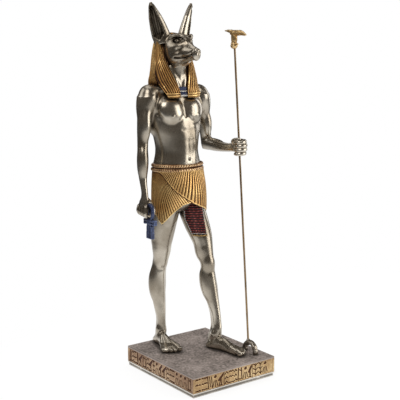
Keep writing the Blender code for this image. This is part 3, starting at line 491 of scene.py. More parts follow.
def shape_legs(clay):
    """The right leg stands back and the left one strides forward, both on bare feet."""
    clay.loft([(2, -14.2, 35.6, 3.4, 4.8), (7, -14.2, 34.8, 3.6, 4.8), (11, -14.2, 34.4, 3.5, 4.4),
        (15, -14, 34.5, 3.2, 3.9), (20.5, -13.9, 34.9, 3.1, 3.7), (28, -13.6, 36.7, 4.3, 4.8),
        (35, -13.4, 38.4, 5.2, 5.6), (42.5, -13.9, 39.2, 6, 6.3), (49, -14, 39.9, 6.5, 6.6),
        (56, -13.8, 39.9, 6.5, 6.5), (62, -13, 39.3, 6.2, 6.2), (67, -12.4, 38.7, 5.8, 6),
        (75, -11.8, 37.3, 6.3, 6.6), (81, -11.6, 37, 7.4, 8), (86, -11.4, 36.6, 8.4, 9.1),
        (98, -10.8, 35, 9.6, 10.8), (112, -9.8, 33, 10.4, 12.3),
        (124, -8.8, 31.6, 10, 11.8)], squareness=2.1, soft=2)
    clay.loft([(2, 13.2, -1.6, 3.2, 4.8), (7, 13.7, -1.8, 3.6, 4.8), (11, 14.2, -2.4, 3.5, 4.4),
        (16.5, 15, -3.2, 3.2, 4), (21, 15.6, -2, 3.1, 3.7), (28, 15.8, -0.2, 3.5, 3.9),
        (38, 15.5, 3.5, 5, 5.4), (49, 15, 7.2, 6.2, 7), (58, 14.5, 8.6, 6.1, 6.8),
        (65, 14.1, 8.4, 5.3, 5.7), (72, 13.7, 9.4, 5.7, 6), (79, 13.3, 11.6, 6.7, 7.2),
        (85, 13, 13.8, 7.8, 8.4), (91, 12.6, 16.4, 9, 10), (98, 11.8, 19.6, 10, 11.2),
        (112, 10, 25, 10.6, 12.2), (124, 9, 27.6, 10, 11.4)], squareness=2.1, soft=2)
    for x, y, lean in ((-12.4, 34, 0), (14, 5.2, 0.12)):
        clay.ball((x, y + 0.4, 68.6), (3.8, 2.4, 4.8), soft=3.5)
        for half in halves(clay, x):
            half.ball((3.4, y + lean * 60 + 1.6, 78), (3.2, 3.2, 6), soft=4.5)
    clay.limb([(-13.2, 34.4, 60, 1.2), (-13.8, 34.2, 45, 1.2), (-14, 33.2, 24, 0.9), (-14.1, 33.4, 8, 0.9)],
        soft=4)
    clay.limb([(14.4, 3.8, 58, 1.2), (15.2, 1.2, 44, 1.2), (15.8, -3.6, 24, 0.9), (14.4, -4.6, 8, 0.9)],
        soft=4)
    for side in (-1, 1):
        clay.ball((-13.8 + side * 2.8, 40.6, 50 + side * 1.5), (3.4, 3.8, 10.5), soft=4)
        clay.ball((14.8 + side * 2.8, 8.6, 50 - side * 1.5), (3.2, 4, 10.5), soft=4, tilt=-14)
        clay.ball((-14.1 + side * 2.3, 35.2, 11.4), (1.5, 2.2, 2.4), soft=3.4)
        clay.ball((14.3 + side * 2.3, -2.6, 11.8), (1.5, 2.2, 2.4), soft=3.4)
    clay.limb([(-14.2, 40.2, 3, 1.9), (-14.2, 39.8, 10, 1.5), (-14.1, 39.4, 22, 1.3), (-13.8, 43, 34, 1.6)],
        soft=3)
    clay.limb([(12.4, 3, 3, 1.9), (13.2, 3.2, 10, 1.5), (14.8, 2.4, 20, 1.3), (15.4, 6.4, 34, 1.6)], soft=3)
    clay.groove([(-8, 26.2, 86), (-5.4, 24, 100)], 2, 0.5)
    clay.groove([(8, 6, 84), (4.6, 9.4, 98)], 2, 0.5)
    for heel, splay, outward, breadth in (((-14, 42.6), 9, -1, 1), ((11.6, 4), 14, 1, 0.82)):
        shape_foot(clay, heel, math.radians(splay), outward, breadth)


def shape_foot(clay, heel, splay, outward, breadth):
    """A bare foot from its heel: a wedge of balls, five toes with nails, and tendons."""
    ahead = np.array((outward * math.sin(splay), -math.cos(splay), 0))
    aside = np.array((outward * math.cos(splay), math.sin(splay), 0))
    turn = math.degrees(math.atan2(ahead[0], -ahead[1]))

    def at(v, u, z):
        spot = np.array((heel[0], heel[1], 0)) + ahead * v + aside * u * breadth
        return (spot[0], spot[1], z)

    rows = [(0.8, 0, 2.6, 2.6), (4, 0, 3.9, 5), (9, 0, 4, 8.6), (14, 0.2, 4, 9.8), (19, 0.7, 4.7, 7.8),
        (24, 1.2, 5.9, 5.8), (28.5, 1.6, 6.8, 4.6), (31.5, 1.6, 6.9, 3.8)]
    for v, u, wide, tall in smooth_rows(rows, 2):
        clay.ball(at(v, u, tall * 0.41), (wide * breadth, 3, tall * 0.6), soft=2.2, turn=turn)
    toes = ((-4.6, 37.4, 2.35), (-0.7, 37, 1.75), (2.4, 36, 1.65), (5.1, 34.4, 1.55), (7.5, 32.4, 1.45))
    for u, v, size in toes:
        clay.limb([(*at(v - 12, u * 0.62, size + 2.4), size * 0.8),
            (*at(v - 6.4, u * 0.9, size + 1.5), size * 0.9), (*at(v - 3.4, u, size + 0.7), size * 0.86),
            (*at(v - size, u, size * 0.9), size * 0.98)], soft=0.5)
        nail = at(v - size * 0.5, u, size * 1.62)
        clay.ball(nail, (size * 0.62, size * 0.66, 0.45), soft=0.25, turn=turn)
        clay.limb([(*at(v - 12, u * 0.6, size + 3.2), 0.4), (*at(16, u * 0.25, 8.2), 0.4)], soft=2.6)


def shape_head(clay):
    """A jackal's head: skull, muzzle, nose, mouth, eyes with rims, cheeks and ears."""
    clay.ball((0, 29.6, 241.6), (10.9, 12.2, 10.8), soft=3)
    clay.ball((0, 21.6, 245), (7, 7.4, 6.4), soft=3)
    for half in halves(clay):
        half.ball((5.4, 26.4, 236.2), (5.7, 8.6, 8.2), soft=3)
        half.ball((6.2, 21.4, 242), (2.8, 5.4, 1.8), soft=1.8, turn=-24, tilt=-8)
    clay.loft([(26, 0, 237.2, 8.2, 9.4), (19, 0, 237.8, 6, 8.6), (14, 0, 238, 4.5, 7.4),
        (10, 0, 237.4, 3.7, 6.1), (6.6, 0, 236.8, 3, 5.2),
        (4.2, 0, 236.4, 2.4, 4.2)], squareness=1.95, soft=2.5, axis=1)
    clay.ball((0, 4.4, 235.9), (3.3, 2.8, 4.7), soft=0.9)
    clay.ball((0, 3.5, 238.7), (2.8, 2, 2), soft=0.7)
    for half in halves(clay):
        half.ball((2.6, 10.4, 237.4), (2, 6.6, 3), soft=3, turn=-13)
        half.ball((1.5, 1.6, 238), (0.85, 0.9, 0.8), soft=0.4, remove=True)
        half.groove([(2.4, 4.2, 240.2), (3.4, 6, 238), (3.4, 6.4, 235.6)], 0.5, 0.5)
        clay.groove([(clay.outer_x(half.side, y, z), y, z) for y, z in MOUTH], 0.75, 1.15)
        half.groove([(3.4, 9.6, 243), (4.4, 13.6, 245.4), (5.4, 17, 246.8)], 1.1, 0.6)
        half.ball((6.9, 21.4, 246.6), (2, 3.3, 1.7), soft=0.8, turn=-24, remove=True)
        half.ball((5.9, 20.9, 246.3), (2.2, 2.7, 1.65), soft=0, turn=-28)
        half.limb([(3, 14.6, 248, 0.8), (4.8, 17, 250, 1.05), (6.4, 20.4, 250.7, 1.15), (8, 24.6, 249.9, 1),
            (9, 28, 248, 0.8)], soft=0.9)
        half.limb([(4.2, 16, 246.6, 0.5), (5.9, 18.6, 244.4, 0.6), (7.2, 22, 243.9, 0.6),
            (8.4, 25.6, 245.2, 0.55), (9.2, 28, 247, 0.5)], soft=0.6)
        half.groove([(7.8, 18.4, 239.4), (8.8, 22, 236.6), (9, 26, 234)], 1.5, 0.6)
        half.limb([(5.8, 21, 232.6, 0.8), (7, 25, 231.6, 0.9), (8, 28.6, 233, 0.8)], soft=1.2)
    clay.groove([(0, 1.8, 237.4), (0, 1.8, 233.4)], 0.45, 0.5)
    clay.groove([(0, 12, 246.8), (0, 17, 250.6), (0, 24, 252.8)], 1.5, 0.6)
    clay.limb([(0, 29, 234, 7.8), (-0.3, 30.4, 224, 6.7), (-0.5, 30.5, 214, 7)], soft=4)
    for side in (-1, 1):
        shape_ear(clay, side)


MOUTH = ((6.2, 236.2), (9, 235), (12, 234.1), (15, 233.5), (18, 233.2), (20.6, 233.6))
EAR_SHARES = (0, 0.18, 0.4, 0.65, 0.85, 0.96, 1)
EAR_HALF = (6.6, 6.9, 6.2, 4.9, 3.2, 2.1, 1.2)
EAR_THICK = (4.6, 4.3, 3.8, 3.1, 2.4, 1.7, 1.1)


def ear_places(side, x, y, z):
    """Share of the length up an ear, with offsets across it, behind it and along it."""
    base = np.array((side * 9.6, 35.8, 246))
    tip = np.array((side * 19.4, 38, 275))
    turned = math.radians(33)
    across = np.array((side * math.cos(turned), math.sin(turned), 0))
    behind = np.array((-side * math.sin(turned), math.cos(turned), 0))
    length = np.linalg.norm(tip - base)
    way = (tip - base) / length
    gx, gy, gz = x - base[0], y - base[1], z - base[2]
    t = np.clip((gx * way[0] + gy * way[1] + gz * way[2]) / length, 0, 1)
    cx, cy, cz = gx - t * length * way[0], gy - t * length * way[1], gz - t * length * way[2]
    offsets = [cx * d[0] + cy * d[1] + cz * d[2] for d in (across, behind, way)]
    return t, *offsets


def shape_ear(clay, side):
    """A tall pointed ear: a leaf, scooped out in front, with a rolled rim and tufts inside."""
    cut, x, y, z = clay.part((min(side * 9.6, side * 19.6) - 12, 23, 234),
        (max(side * 9.6, side * 19.6) + 12, 50, 288))
    t, u, v, w = ear_places(side, x, y, z)
    h = np.interp(t, EAR_SHARES, EAR_HALF).astype(np.float32)
    k = np.interp(t, EAR_SHARES, EAR_THICK).astype(np.float32)
    leaf = (np.sqrt((u / h) ** 2 + (v / k) ** 2) - 1) * np.minimum(h, k)
    leaf = np.where(np.abs(w) > 0.4, np.maximum(leaf, np.sqrt(np.maximum(leaf, -1) ** 2 + w ** 2) - 1),
        leaf)
    clay.blend(cut, leaf, 2)
    scoop = np.maximum(0.7 * h - 0.4, 0.05)
    hollow = (np.sqrt(((u - 0.24 * h) / scoop) ** 2 + ((v + k) / np.maximum(k * 1.5, 0.1)) ** 2)
        - 1) * np.minimum(scoop, k)
    fade = np.clip((t - 0.04) / 0.16, 0, 1)
    hairs = 0.24 * np.sin(u * 4.4 + t * 9) * np.clip(v + k, 0, 1) * (1 - 0.6 * t)
    hollow = hollow + (1 - fade) * 5 + hairs
    clay.blend(cut, np.where(t > 0.95, 5, hollow), 0.7, remove=True)


def head_shade(points):
    """Painted shade inside the ears and along the mouth, darker ear tips and a dark ring round the eyes."""
    x, y, z = points.T
    shade = np.zeros(len(points))
    for side in (-1, 1):
        t, u, v, w = ear_places(side, x, y, z)
        h = np.interp(t, EAR_SHARES, EAR_HALF)
        k = np.interp(t, EAR_SHARES, EAR_THICK)
        inside = np.clip(3.6 - 3 * np.abs(u - 0.24 * h) / np.maximum(0.7 * h - 0.2, 0.2), 0, 1)
        inside = inside * np.clip((0.9 - v / k) / 0.5, 0, 1)
        inside = inside * np.clip((t - 0.02) / 0.08, 0, 1) * np.clip((0.97 - t) / 0.1, 0, 1)
        inside = np.where(np.abs(w) < 1, inside, 0)
        # Painted shade inside the ear's scoop.
        shade = np.maximum(shade, inside * (0.42 - 0.2 * t))
        shade = np.maximum(shade, 0.5 * np.clip((t - 0.86) / 0.1, 0, 1) * (z > 262))
        gap = np.sqrt(((x - side * 6.6) / 2.6) ** 2 + ((y - 21.8) / 4.8) ** 2 + ((z - 246.4) / 2.2) ** 2)
        shade = np.maximum(shade, 0.5 * np.exp(-((gap - 0.85) / 0.26) ** 2))
    # Painted shadow along the mouth line, under the upper lip.
    level = np.interp(y, *zip(*MOUTH))
    beside = (y > 5.6) & (y < 21.4) & (np.abs(x) > 1.5)
    return np.maximum(shade, 0.75 * np.exp(-((z - level) / 0.6) ** 2) * beside)


BODY_STEP, HEAD_STEP = 0.63, 0.44
BORE_RADIUS = STAFF_RADIUS + 0.25


def make_body():
    """Torso with arms, legs and head, each in a clay of its own; the legs are cut flat at the soles."""
    clay = Clay((-43, -24, 104), (41, 50, 236), BODY_STEP)
    shape_torso(clay)
    shape_arms(clay)
    bore = [(*(STAFF_LOW + (GRIP - STAFF_LOW) * t), BORE_RADIUS) for t in (0.9, 1.12)]
    clay.limb(bore, soft=0, remove=True)
    clay_piece("body", clay, SKIN, "figure")
    clay = Clay((-30, -38, -3), (30, 52, 128), BODY_STEP)
    shape_legs(clay)
    cut, *_, z = clay.part((-40, -50, -9), (40, 60, 10))
    clay.field[cut] = np.maximum(clay.field[cut], 0.1 - z)
    clay_piece("legs", clay, SKIN, "figure")
    clay = Clay((-25, -3, 214), (25, 50, 278), HEAD_STEP)
    shape_head(clay)
    clay_piece("head", clay, SKIN, "figure", head_shade)


# Carved cloth
def ring_points(rows, columns, middle, squareness=2.2, start=-math.pi / 2):
    """Upright oval rings from rows of z, half-width, half-depth and y: points, angles and ways out."""
    turn = start + 2 * np.pi * np.arange(columns) / columns
    c, s = np.cos(turn), np.sin(turn)
    u = np.sign(c) * np.abs(c) ** (2 / squareness)
    v = np.sign(s) * np.abs(s) ** (2 / squareness)
    points = np.zeros((len(rows), columns, 3))
    points[:, :, 0] = middle + rows[:, 1:2] * u
    points[:, :, 1] = rows[:, 3:4] + rows[:, 2:3] * v
    points[:, :, 2] = rows[:, 0:1]
    out = np.stack((u / rows[:, 1:2].mean(), v / rows[:, 2:3].mean(), np.zeros(columns)), -1)
    out /= np.linalg.norm(out, axis=-1, keepdims=True)
    return points, turn, out


HEM_ANGLES = (-180, -120, -100, -85, -76, -67, -56, -46, -32, -17, 0, 18, 28, 51, 70, 120, 180)
HEM_HEIGHTS = (108, 109, 111, 110, 105.5, 103, 106, 109.5, 114, 118, 119.6, 116, 114.6, 111.4, 109.4,
    108, 108)
EDGE_ANGLES = (-96, -78, -62, -44, -33, -18, 0, 10, 20)
EDGE_HEIGHTS = (148, 145, 142, 134.5, 130, 125.5, 120.4, 116, 100)
KILT_RADIUS = 20.5
UPPER_PLEATS, LOWER_PLEATS = 68, 74
SIDE_SHADOW_ANGLE = -114
BELT_MIDDLE = 29.6
BELT_TWISTS = 62
BRAID_PITCH = 1.6
HEADCLOTH_RADIUS = 17.5
STRANDS_ROUND = 70


def hem_height(turn):
    """The kilt's lower edge by direction; the front is 0 degrees and the figure's right is negative."""
    angle = (np.degrees(turn) + 90 + 180) % 360 - 180
    return np.interp(angle, HEM_ANGLES, HEM_HEIGHTS), angle


def fan(run, z, centre, top, level, window):
    """Run measured so that lines of equal value spread from a point, as far as the window says."""
    return (run - centre) * (1 + window * ((top - level) / np.maximum(top - z, 6) - 1))


def make_kilt():
    """A wrapped kilt: an upper sheet laid slantwise over a lower one, each with pleats that fan out."""
    rows, columns = 84, 720
    share = np.linspace(0, 1, rows)
    profile = smooth_rows([(0, 23.4, 17.3, 28), (0.3, 23.5, 17.4, 28.1), (0.6, 23.1, 16.8, 28.6),
        (0.85, 22.2, 15.9, 29.4), (1, 21.6, 15.6, 29.6)])
    table = np.stack([np.interp(share, profile[:, 0], profile[:, i]) for i in range(4)], 1)
    points, turn, out = ring_points(table, columns, KILT_MIDDLE)
    low, angle = hem_height(turn)
    z = low[None, :] + (KILT_TOP - low[None, :]) * share[:, None]
    points[:, :, 2] = z
    angle = angle[None, :]
    run = np.radians(angle) * KILT_RADIUS
    edge = np.interp(angle, EDGE_ANGLES, EDGE_HEIGHTS, left=200, right=0)
    in_front = (angle > EDGE_ANGLES[0]) & (angle < EDGE_ANGLES[-1])
    above = np.clip((z - edge) / 0.4 + 0.5, 0, 1) * ((angle > EDGE_ANGLES[0]) & (angle < 150))
    girth = 2 * math.pi * KILT_RADIUS
    near_upper = np.clip((110 - np.abs(angle)) / 50, 0, 1)
    near_lower = np.clip((110 - np.abs(angle + 50)) / 40, 0, 1)
    upper = fan(run, z, 5, 172.5, 138, near_upper) / (girth / UPPER_PLEATS)
    lower = fan(run, z, -31.5, 162, 125, near_lower) / (girth / LOWER_PLEATS)
    across = np.abs((np.where(above > 0.5, upper, lower) + 0.5) % 1 - 0.5)
    calm = np.where(above > 0.5, 1, np.clip((148 - z) / 16, 0.12, 1))
    valley = np.exp(-(across / 0.17) ** 2) * calm
    crown = 0.25 * (across / 0.5) ** 2 * calm
    near_edge = np.exp(-((z - edge - 0.7) / 0.45) ** 2) * in_front
    hem = np.exp(-((z - low[None, :] - 0.6) / 0.45) ** 2)
    plain_share = (1 - near_edge) * (1 - hem)
    lift = 0.7 * above - 0.46 * valley * plain_share - 0.2 * (0.25 - crown) * plain_share + 0.1 * hem
    lift = lift * np.clip((KILT_TOP - z) / 1.5, 0.2, 1)
    points += out[None] * lift[..., None]
    step_shade = np.exp(-((z - edge + 0.35) / 0.45) ** 2) * in_front
    # Painted shade: pleat valleys, the step under the upper sheet's edge, and the lower sheet near the
    # waist in front.
    sunk = np.clip(valley * plain_share * 1.2 + step_shade * 0.9 + 0.45 * (1 - calm) * in_front, 0, 1)
    # Painted shadow on the kilt's side toward the figure's right, strongest up near the waist.
    side_shadow = np.exp(-((angle - SIDE_SHADOW_ANGLE) / 28) ** 2) * np.clip((z - 108) / 24, 0, 1)
    sunk = np.clip(sunk + 0.6 * side_shadow, 0, 1)
    # Painted light: the lower sheet is painted paler towards its hem.
    hem_light = 0.42 * (1 - above) * np.clip((138 - z) / 14, 0, 1)
    sunk = sunk * (1 - hem_light) - 0.25 * hem_light
    inner = points[0].copy()
    inner -= out * 1.6
    inner[:, 2] += 0.1
    deep = inner - out * 0.4
    deep[:, 2] += 9
    grid = np.concatenate((deep[None], inner[None], points), 0)
    # Painted shade on the two rows turned in at the waist.
    shade = np.concatenate((np.ones((2, columns)), sunk), 0)
    sheet_piece("kilt", grid, GOLD, "figure", shade)


def make_belt():
    """Two twisted cords round the waist with a groove between them."""
    profile = [(143.9, 21.3, 15.4), (144.4, 22.2, 16.2), (145.4, 22.6, 16.5), (146.4, 22.4, 16.4),
        (147, 21.7, 15.7), (147.3, 21.5, 15.5), (147.6, 21.8, 15.7), (148.2, 22.3, 16.1),
        (149.2, 22.2, 16.1), (150, 21.6, 15.5), (150.4, 20.4, 14.4)]
    rows = smooth_rows([(*row, BELT_MIDDLE) for row in profile], 3)
    points, turn, out = ring_points(rows, 420, KILT_MIDDLE)
    turns = BELT_TWISTS * turn[None, :]
    z = rows[:, 0:1]
    cord = np.cos(turns + (z - 145) * 1.4) * np.exp(-((z - 145.4) / 1.2) ** 2)
    cord = cord + np.cos(turns - (z - 149) * 1.4) * np.exp(-((z - 148.8) / 0.9) ** 2)
    points += out[None] * (0.16 * cord)[..., None]
    shade = np.clip(0.25 - 0.5 * cord, 0, 1) + 0.5 * np.exp(-((z - 147.2) / 0.35) ** 2)
    sheet_piece("belt", points, BELT, "figure", shade)


def braid(run, down, pitch=BRAID_PITCH):
    """Height of fine strands, each a little deeper or paler than the next, and painted shade in the
    grooves.
    """
    across = np.abs((run / pitch + 0.5) % 1 - 0.5)
    valley = np.exp(-(across / 0.2) ** 2)
    index = np.floor(run / pitch)
    tone = 0.5 + 0.5 * np.sin(index * 2.4 + down * 0.12 * (1 + 0.5 * np.sin(index)))
    return -0.42 * valley - 0.06 * tone * (1 - valley), np.clip(valley * 1.15 + 0.22 * tone, 0, 1)


def make_headcloth():
    """The striped headcloth: a shell of strands over the crown and down the back."""
    rows = [(204, 18.2, 5.6, 39.6), (208, 20, 7.2, 38.6), (215, 21.5, 8.6, 36.8), (220, 20.4, 9, 36.5),
        (226, 19.1, 8.4, 37.1), (233, 17.6, 7.3, 38.3), (240, 16.1, 6.1, 39.1), (246, 14.4, 5, 39.4),
        (249.5, 11.8, 4.2, 38.9), (252, 7.8, 2.8, 37.6), (253, 2, 1, 36.6)]
    table = smooth_rows(rows, 8)
    columns = 560
    points, turn, out = ring_points(table, columns, BODY_MIDDLE + 0.2)
    z = table[:, 0:1]
    run = (turn[None, :] + np.pi / 2) * HEADCLOTH_RADIUS
    height, sunk = braid(run, z, 2 * math.pi * HEADCLOTH_RADIUS / STRANDS_ROUND)
    band = np.exp(-((z - 205.6) / 1.1) ** 8)
    height = height * (1 - band) + 0.25 * band
    sunk = sunk * (1 - band)
    points += out[None] * height[..., None]
    bottom = points[0] * np.array((0.86, 0.9, 1)) + np.array((0, 3.6, 0.4))
    grid = np.concatenate((bottom[None], points), 0)
    # Painted shade on the row tucked in at the bottom, and in the strand grooves above the band.
    shade = np.concatenate((np.ones((1, columns)), np.broadcast_to(sunk, points.shape[:2])), 0)
    sheet_piece("headcloth", grid, GOLD, "figure", shade)


def make_lappets():
    """The headcloth's two front ends, each a thick leaf of strands with bands across its foot."""
    for side in (-1, 1):
        rows = smooth_rows([(12.2, 37.4, 246, 2, 3.2), (12.9, 35.9, 240, 2.8, 3.4),
            (13.5, 33.6, 233, 4.1, 3.5), (13.9, 30.9, 227, 5.4, 3.5), (13.1, 26.2, 217, 6.9, 3.3),
            (10.9, 22.1, 209, 6.8, 3), (9, 20.2, 202.6, 5.5, 2.6)], 22)
        columns = 120
        share = np.linspace(0, 1, columns)
        points = np.zeros((len(rows), columns + 24, 3))
        shade = np.zeros((len(rows), columns + 24))
        for index, (x, y, z, wide, thick) in enumerate(rows):
            turned = math.radians(40) * min((z - 202) / 26, 1.2)
            across = np.array((side * math.cos(turned), math.sin(turned), 0))
            front = np.array((side * math.sin(turned), -math.cos(turned), 0))
            centre = np.array((side * x + BODY_MIDDLE, y, z))
            run = wide * (2 * share - 1)
            height, sunk = braid((share * 7 + 0.5) * BRAID_PITCH, np.full(columns, z))
            if z < 206.4:
                band = min((206.4 - z) / 0.5, 1)
                ridge = 0.5 + 0.5 * math.cos((z - 204) * 2 * math.pi / 1.9)
                height = height * (1 - band) + band * (0.1 + 0.3 * ridge)
                # Painted shade between the bands across the foot and painted highlight on their crests.
                sunk = sunk * (1 - band) + band * (0.75 * (1 - ridge) - 0.25)
            outer = np.clip(2 * share - 1 - 0.1, 0, 1) ** 2 * min(max((z - 206) / 8, 0), 1)
            crown = thick * (1 - 0.5 * (2 * share - 1) ** 2) - 4.2 * outer
            points[index, :columns] = centre + across * run[:, None] + front * (crown + height)[:, None]
            shade[index, :columns] = sunk
            back = np.linspace(1, 0, 26)[1:-1]
            depth = -thick * np.minimum(1, np.minimum(back, 1 - back) * 6)
            back_run = wide * (2 * back - 1)
            points[index, columns:] = centre + across * back_run[:, None] + front * depth[:, None]
            # Painted shade on the back of the lappet.
            shade[index, columns:] = 0.8
        columns += 24
        lid = points[-1].copy()
        lid = lid.mean(0) + (lid - lid.mean(0)) * 0.05
        grid = np.concatenate((points, lid[None]), 0)
        # Painted shade on the lid that closes the foot.
        shade = np.concatenate((shade, np.full((1, columns), 0.6)), 0)
        name = "lappet_right" if side < 0 else "lappet_left"
        sheet_piece(name, grid, GOLD, "figure", shade, flip=side > 0)


def make_collar():
    """Bands of a bead collar: navy, silver, navy and silver."""
    bands = ((203.6, 204.8, SILVER), (204.8, 206.9, NAVY), (206.9, 208.1, SILVER), (208.1, 210.8, NAVY))
    for number, (low, high, surface) in enumerate(bands):
        z = np.linspace(low, high, 9)
        base = np.interp(z, (199, 203, 206.5, 210), (12.6, 11.6, 9.8, 8.4))
        bulge = 0.35 * np.sin(np.pi * (z - low) / (high - low)) ** 0.5
        y = np.interp(z, (199, 203, 206.5, 210), (30, 30.2, 30, 29.8))
        rows = np.stack((z, base + bulge, base + bulge, y), 1)
        points, turn, out = ring_points(rows, 300, -0.5, squareness=2)
        beads = np.cos(turn * 60)[None, :] * np.sin(np.pi * (z - low) / (high - low))[:, None]
        points += out[None] * (0.14 * beads)[..., None]
        sheet_piece(f"collar_{number + 1}", points, surface, "figure")


THIGH = np.array([(79, 13.3, 11.6, 6.9, 7.4), (85, 13, 13.8, 8, 8.6), (91, 12.6, 16.4, 9.2, 10.2),
    (98, 11.8, 19.6, 10.2, 11.4), (112, 10, 25, 10.8, 12.4), (124, 9, 27.6, 10.2, 11.6)])
APRON_LEVELS = (92, 98, 105, 112, 121)
RIB_PITCH = 1.95
LOWEST_RIB = 92.4


def apron_points(z, share, out):
    """Points round the left thigh and out from it, by height and by share across the apron."""
    cx, cy, rx, ry = (np.interp(z, THIGH[:, 0], THIGH[:, i]) for i in (1, 2, 3, 4))
    left = np.interp(z, APRON_LEVELS, (-72, -73, -79, -69, -60))
    right = np.interp(z, APRON_LEVELS, (-7, -2, 3, 9, 16))
    angle = np.radians(left + (right - left) * share)
    x, y = cx + (rx + out) * np.sin(angle), cy - (ry + out) * np.cos(angle)
    return np.stack(np.broadcast_arrays(x, y, z), -1)


def make_apron():
    """The ribbed apron, two beaded borders, a line and a hem, each from a first to a last share across."""
    shifts = np.random.default_rng(3).random(40)
    for name, a, b, top, bottom, lift, surface, slot in (
            ("apron", 0, 1, 121, 92.6, 0.55, MAROON, "red_enamel"),
            ("apron_border", -0.035, 0.045, 119, 92, 0.75, SILVER, "gold_cloth"),
            ("apron_side", 0.965, 1.03, 119, 104, 0.75, SILVER, "gold_cloth"),
            ("apron_line", -0.02, 1.02, 94.4, 93.7, 0.95, SILVER, "gold_cloth"),
            ("apron_hem", -0.03, 1.03, 93, 91.9, 0.85, TRIM, "gold_cloth")):
        upright = top > 100
        rows, columns = (230, 60) if name == "apron" else (150, 12) if upright else (10, 130)
        z = np.linspace(top, bottom, rows)[:, None]
        share = np.linspace(a, b, columns)[None, :]
        if name == "apron":
            ribs = 0.5 + 0.5 * np.cos(2 * np.pi * (z - LOWEST_RIB) / RIB_PITCH)
            row = np.floor((z - LOWEST_RIB) / RIB_PITCH + 0.5).astype(int) % 40
            dash = 0.5 + 0.5 * np.cos(2 * np.pi * (share * (3 + 4 * shifts[row]) + 7 * shifts[row]))
            relief = 0.55 * ribs ** 0.8 * (0.85 + 0.15 * dash)
            # Painted shade between the ribs, with pale dashes on the crests as painted glints.
            sunk = np.clip(1 - ribs ** 0.9 * (0.62 + 0.5 * dash ** 2), 0, 1)
        else:
            beads = 0.5 + 0.5 * np.cos(2 * np.pi * (z / 1.15 if upright else share * 34))
            across = (share - a) / (b - a) if upright else (z - bottom) / (top - bottom)
            crown = 1 - (2 * across - 1) ** 2
            relief = 0.45 * np.clip(crown, 0, 1) ** 0.5 * (0.6 + 0.4 * beads)
            # Painted shade between the beads of the borders, line and hem.
            sunk = np.clip(0.6 - 0.6 * beads * crown, 0, 1)
        front = apron_points(z, share, lift + relief)
        back = apron_points(z, share, lift - 1.6)[:, ::-1]
        ring = np.concatenate((front, back), 1)
        # Painted shade on the back of each strip.
        shade = np.concatenate((np.broadcast_to(sunk, front.shape[:2]), np.ones(front.shape[:2])), 1)
        lids = [ring.mean(1, keepdims=True)[i] + (ring[i] - ring.mean(1)[i]) * 0.02 for i in (0, -1)]
        grid = np.concatenate((lids[0][None], ring, lids[1][None]), 0)
        shade = np.concatenate((shade[:1], shade, shade[-1:]), 0)
        sheet_piece(name, grid, surface, "figure", shade, flip=True)


def make_looped_cross():
    """A looped cross that hangs from the right fist: a shaft, an arm and a loop."""
    x, y, level = -34, 19.4, 106.6
    clay = Clay((-38, 8, 90), (-30, 31, 123), 0.27)
    half = 1.6
    for low, high, wide in ((93.2, 98.4, 3.9), (98, 103.4, 3.6), (103, 108.4, 3.1)):
        clay.box((x - half, y - wide, low), (x + half, y + wide, high), 0.6, soft=0.8)
    for side in (-1, 1):
        for reach, tall in ((4, 1.7), (6.2, 1.9), (7.7, 2.2)):
            inner = y + side * (reach - 2.4) if reach > 4 else y
            a, b = sorted((inner, y + side * reach))
            clay.box((x - half, a, level - tall), (x + half, b, level + tall), 0.6, soft=0.8)
    loop = [(x, y + 3.6 * math.sin(t), level + 7.8 + 5.8 * math.cos(t) - 0.8 * (math.cos(t) < -0.5), 1.45)
            for t in np.linspace(0, 2 * math.pi, 29)]
    clay.limb(loop, soft=0.4, smooth=False)
    for offset in (-1.1, 1.1):
        clay.groove([(x - half, y + offset, 94.6), (x - half, y + offset, 103.6)], 0.45, 0.35)
    for side in (-1, 1):
        clay.groove([(x - half, y + side * 6.6, level), (x - half, y + side * 2.6, level)], 0.5, 0.3)
    clay_piece("looped_cross", clay, NAVY, "figure")


# Plinth
def soft_noise(shape, seed, blur):
    """Seeded noise from 0 to 1, blurred by a few passes."""
    field = np.random.default_rng(seed).random(shape)
    for _ in range(blur):
        field = (field + np.roll(field, 1, 0) + np.roll(field, -1, 0) + np.roll(field, 1, 1)
            + np.roll(field, -1, 1)) / 5
    return (field - field.min()) / (field.max() - field.min())


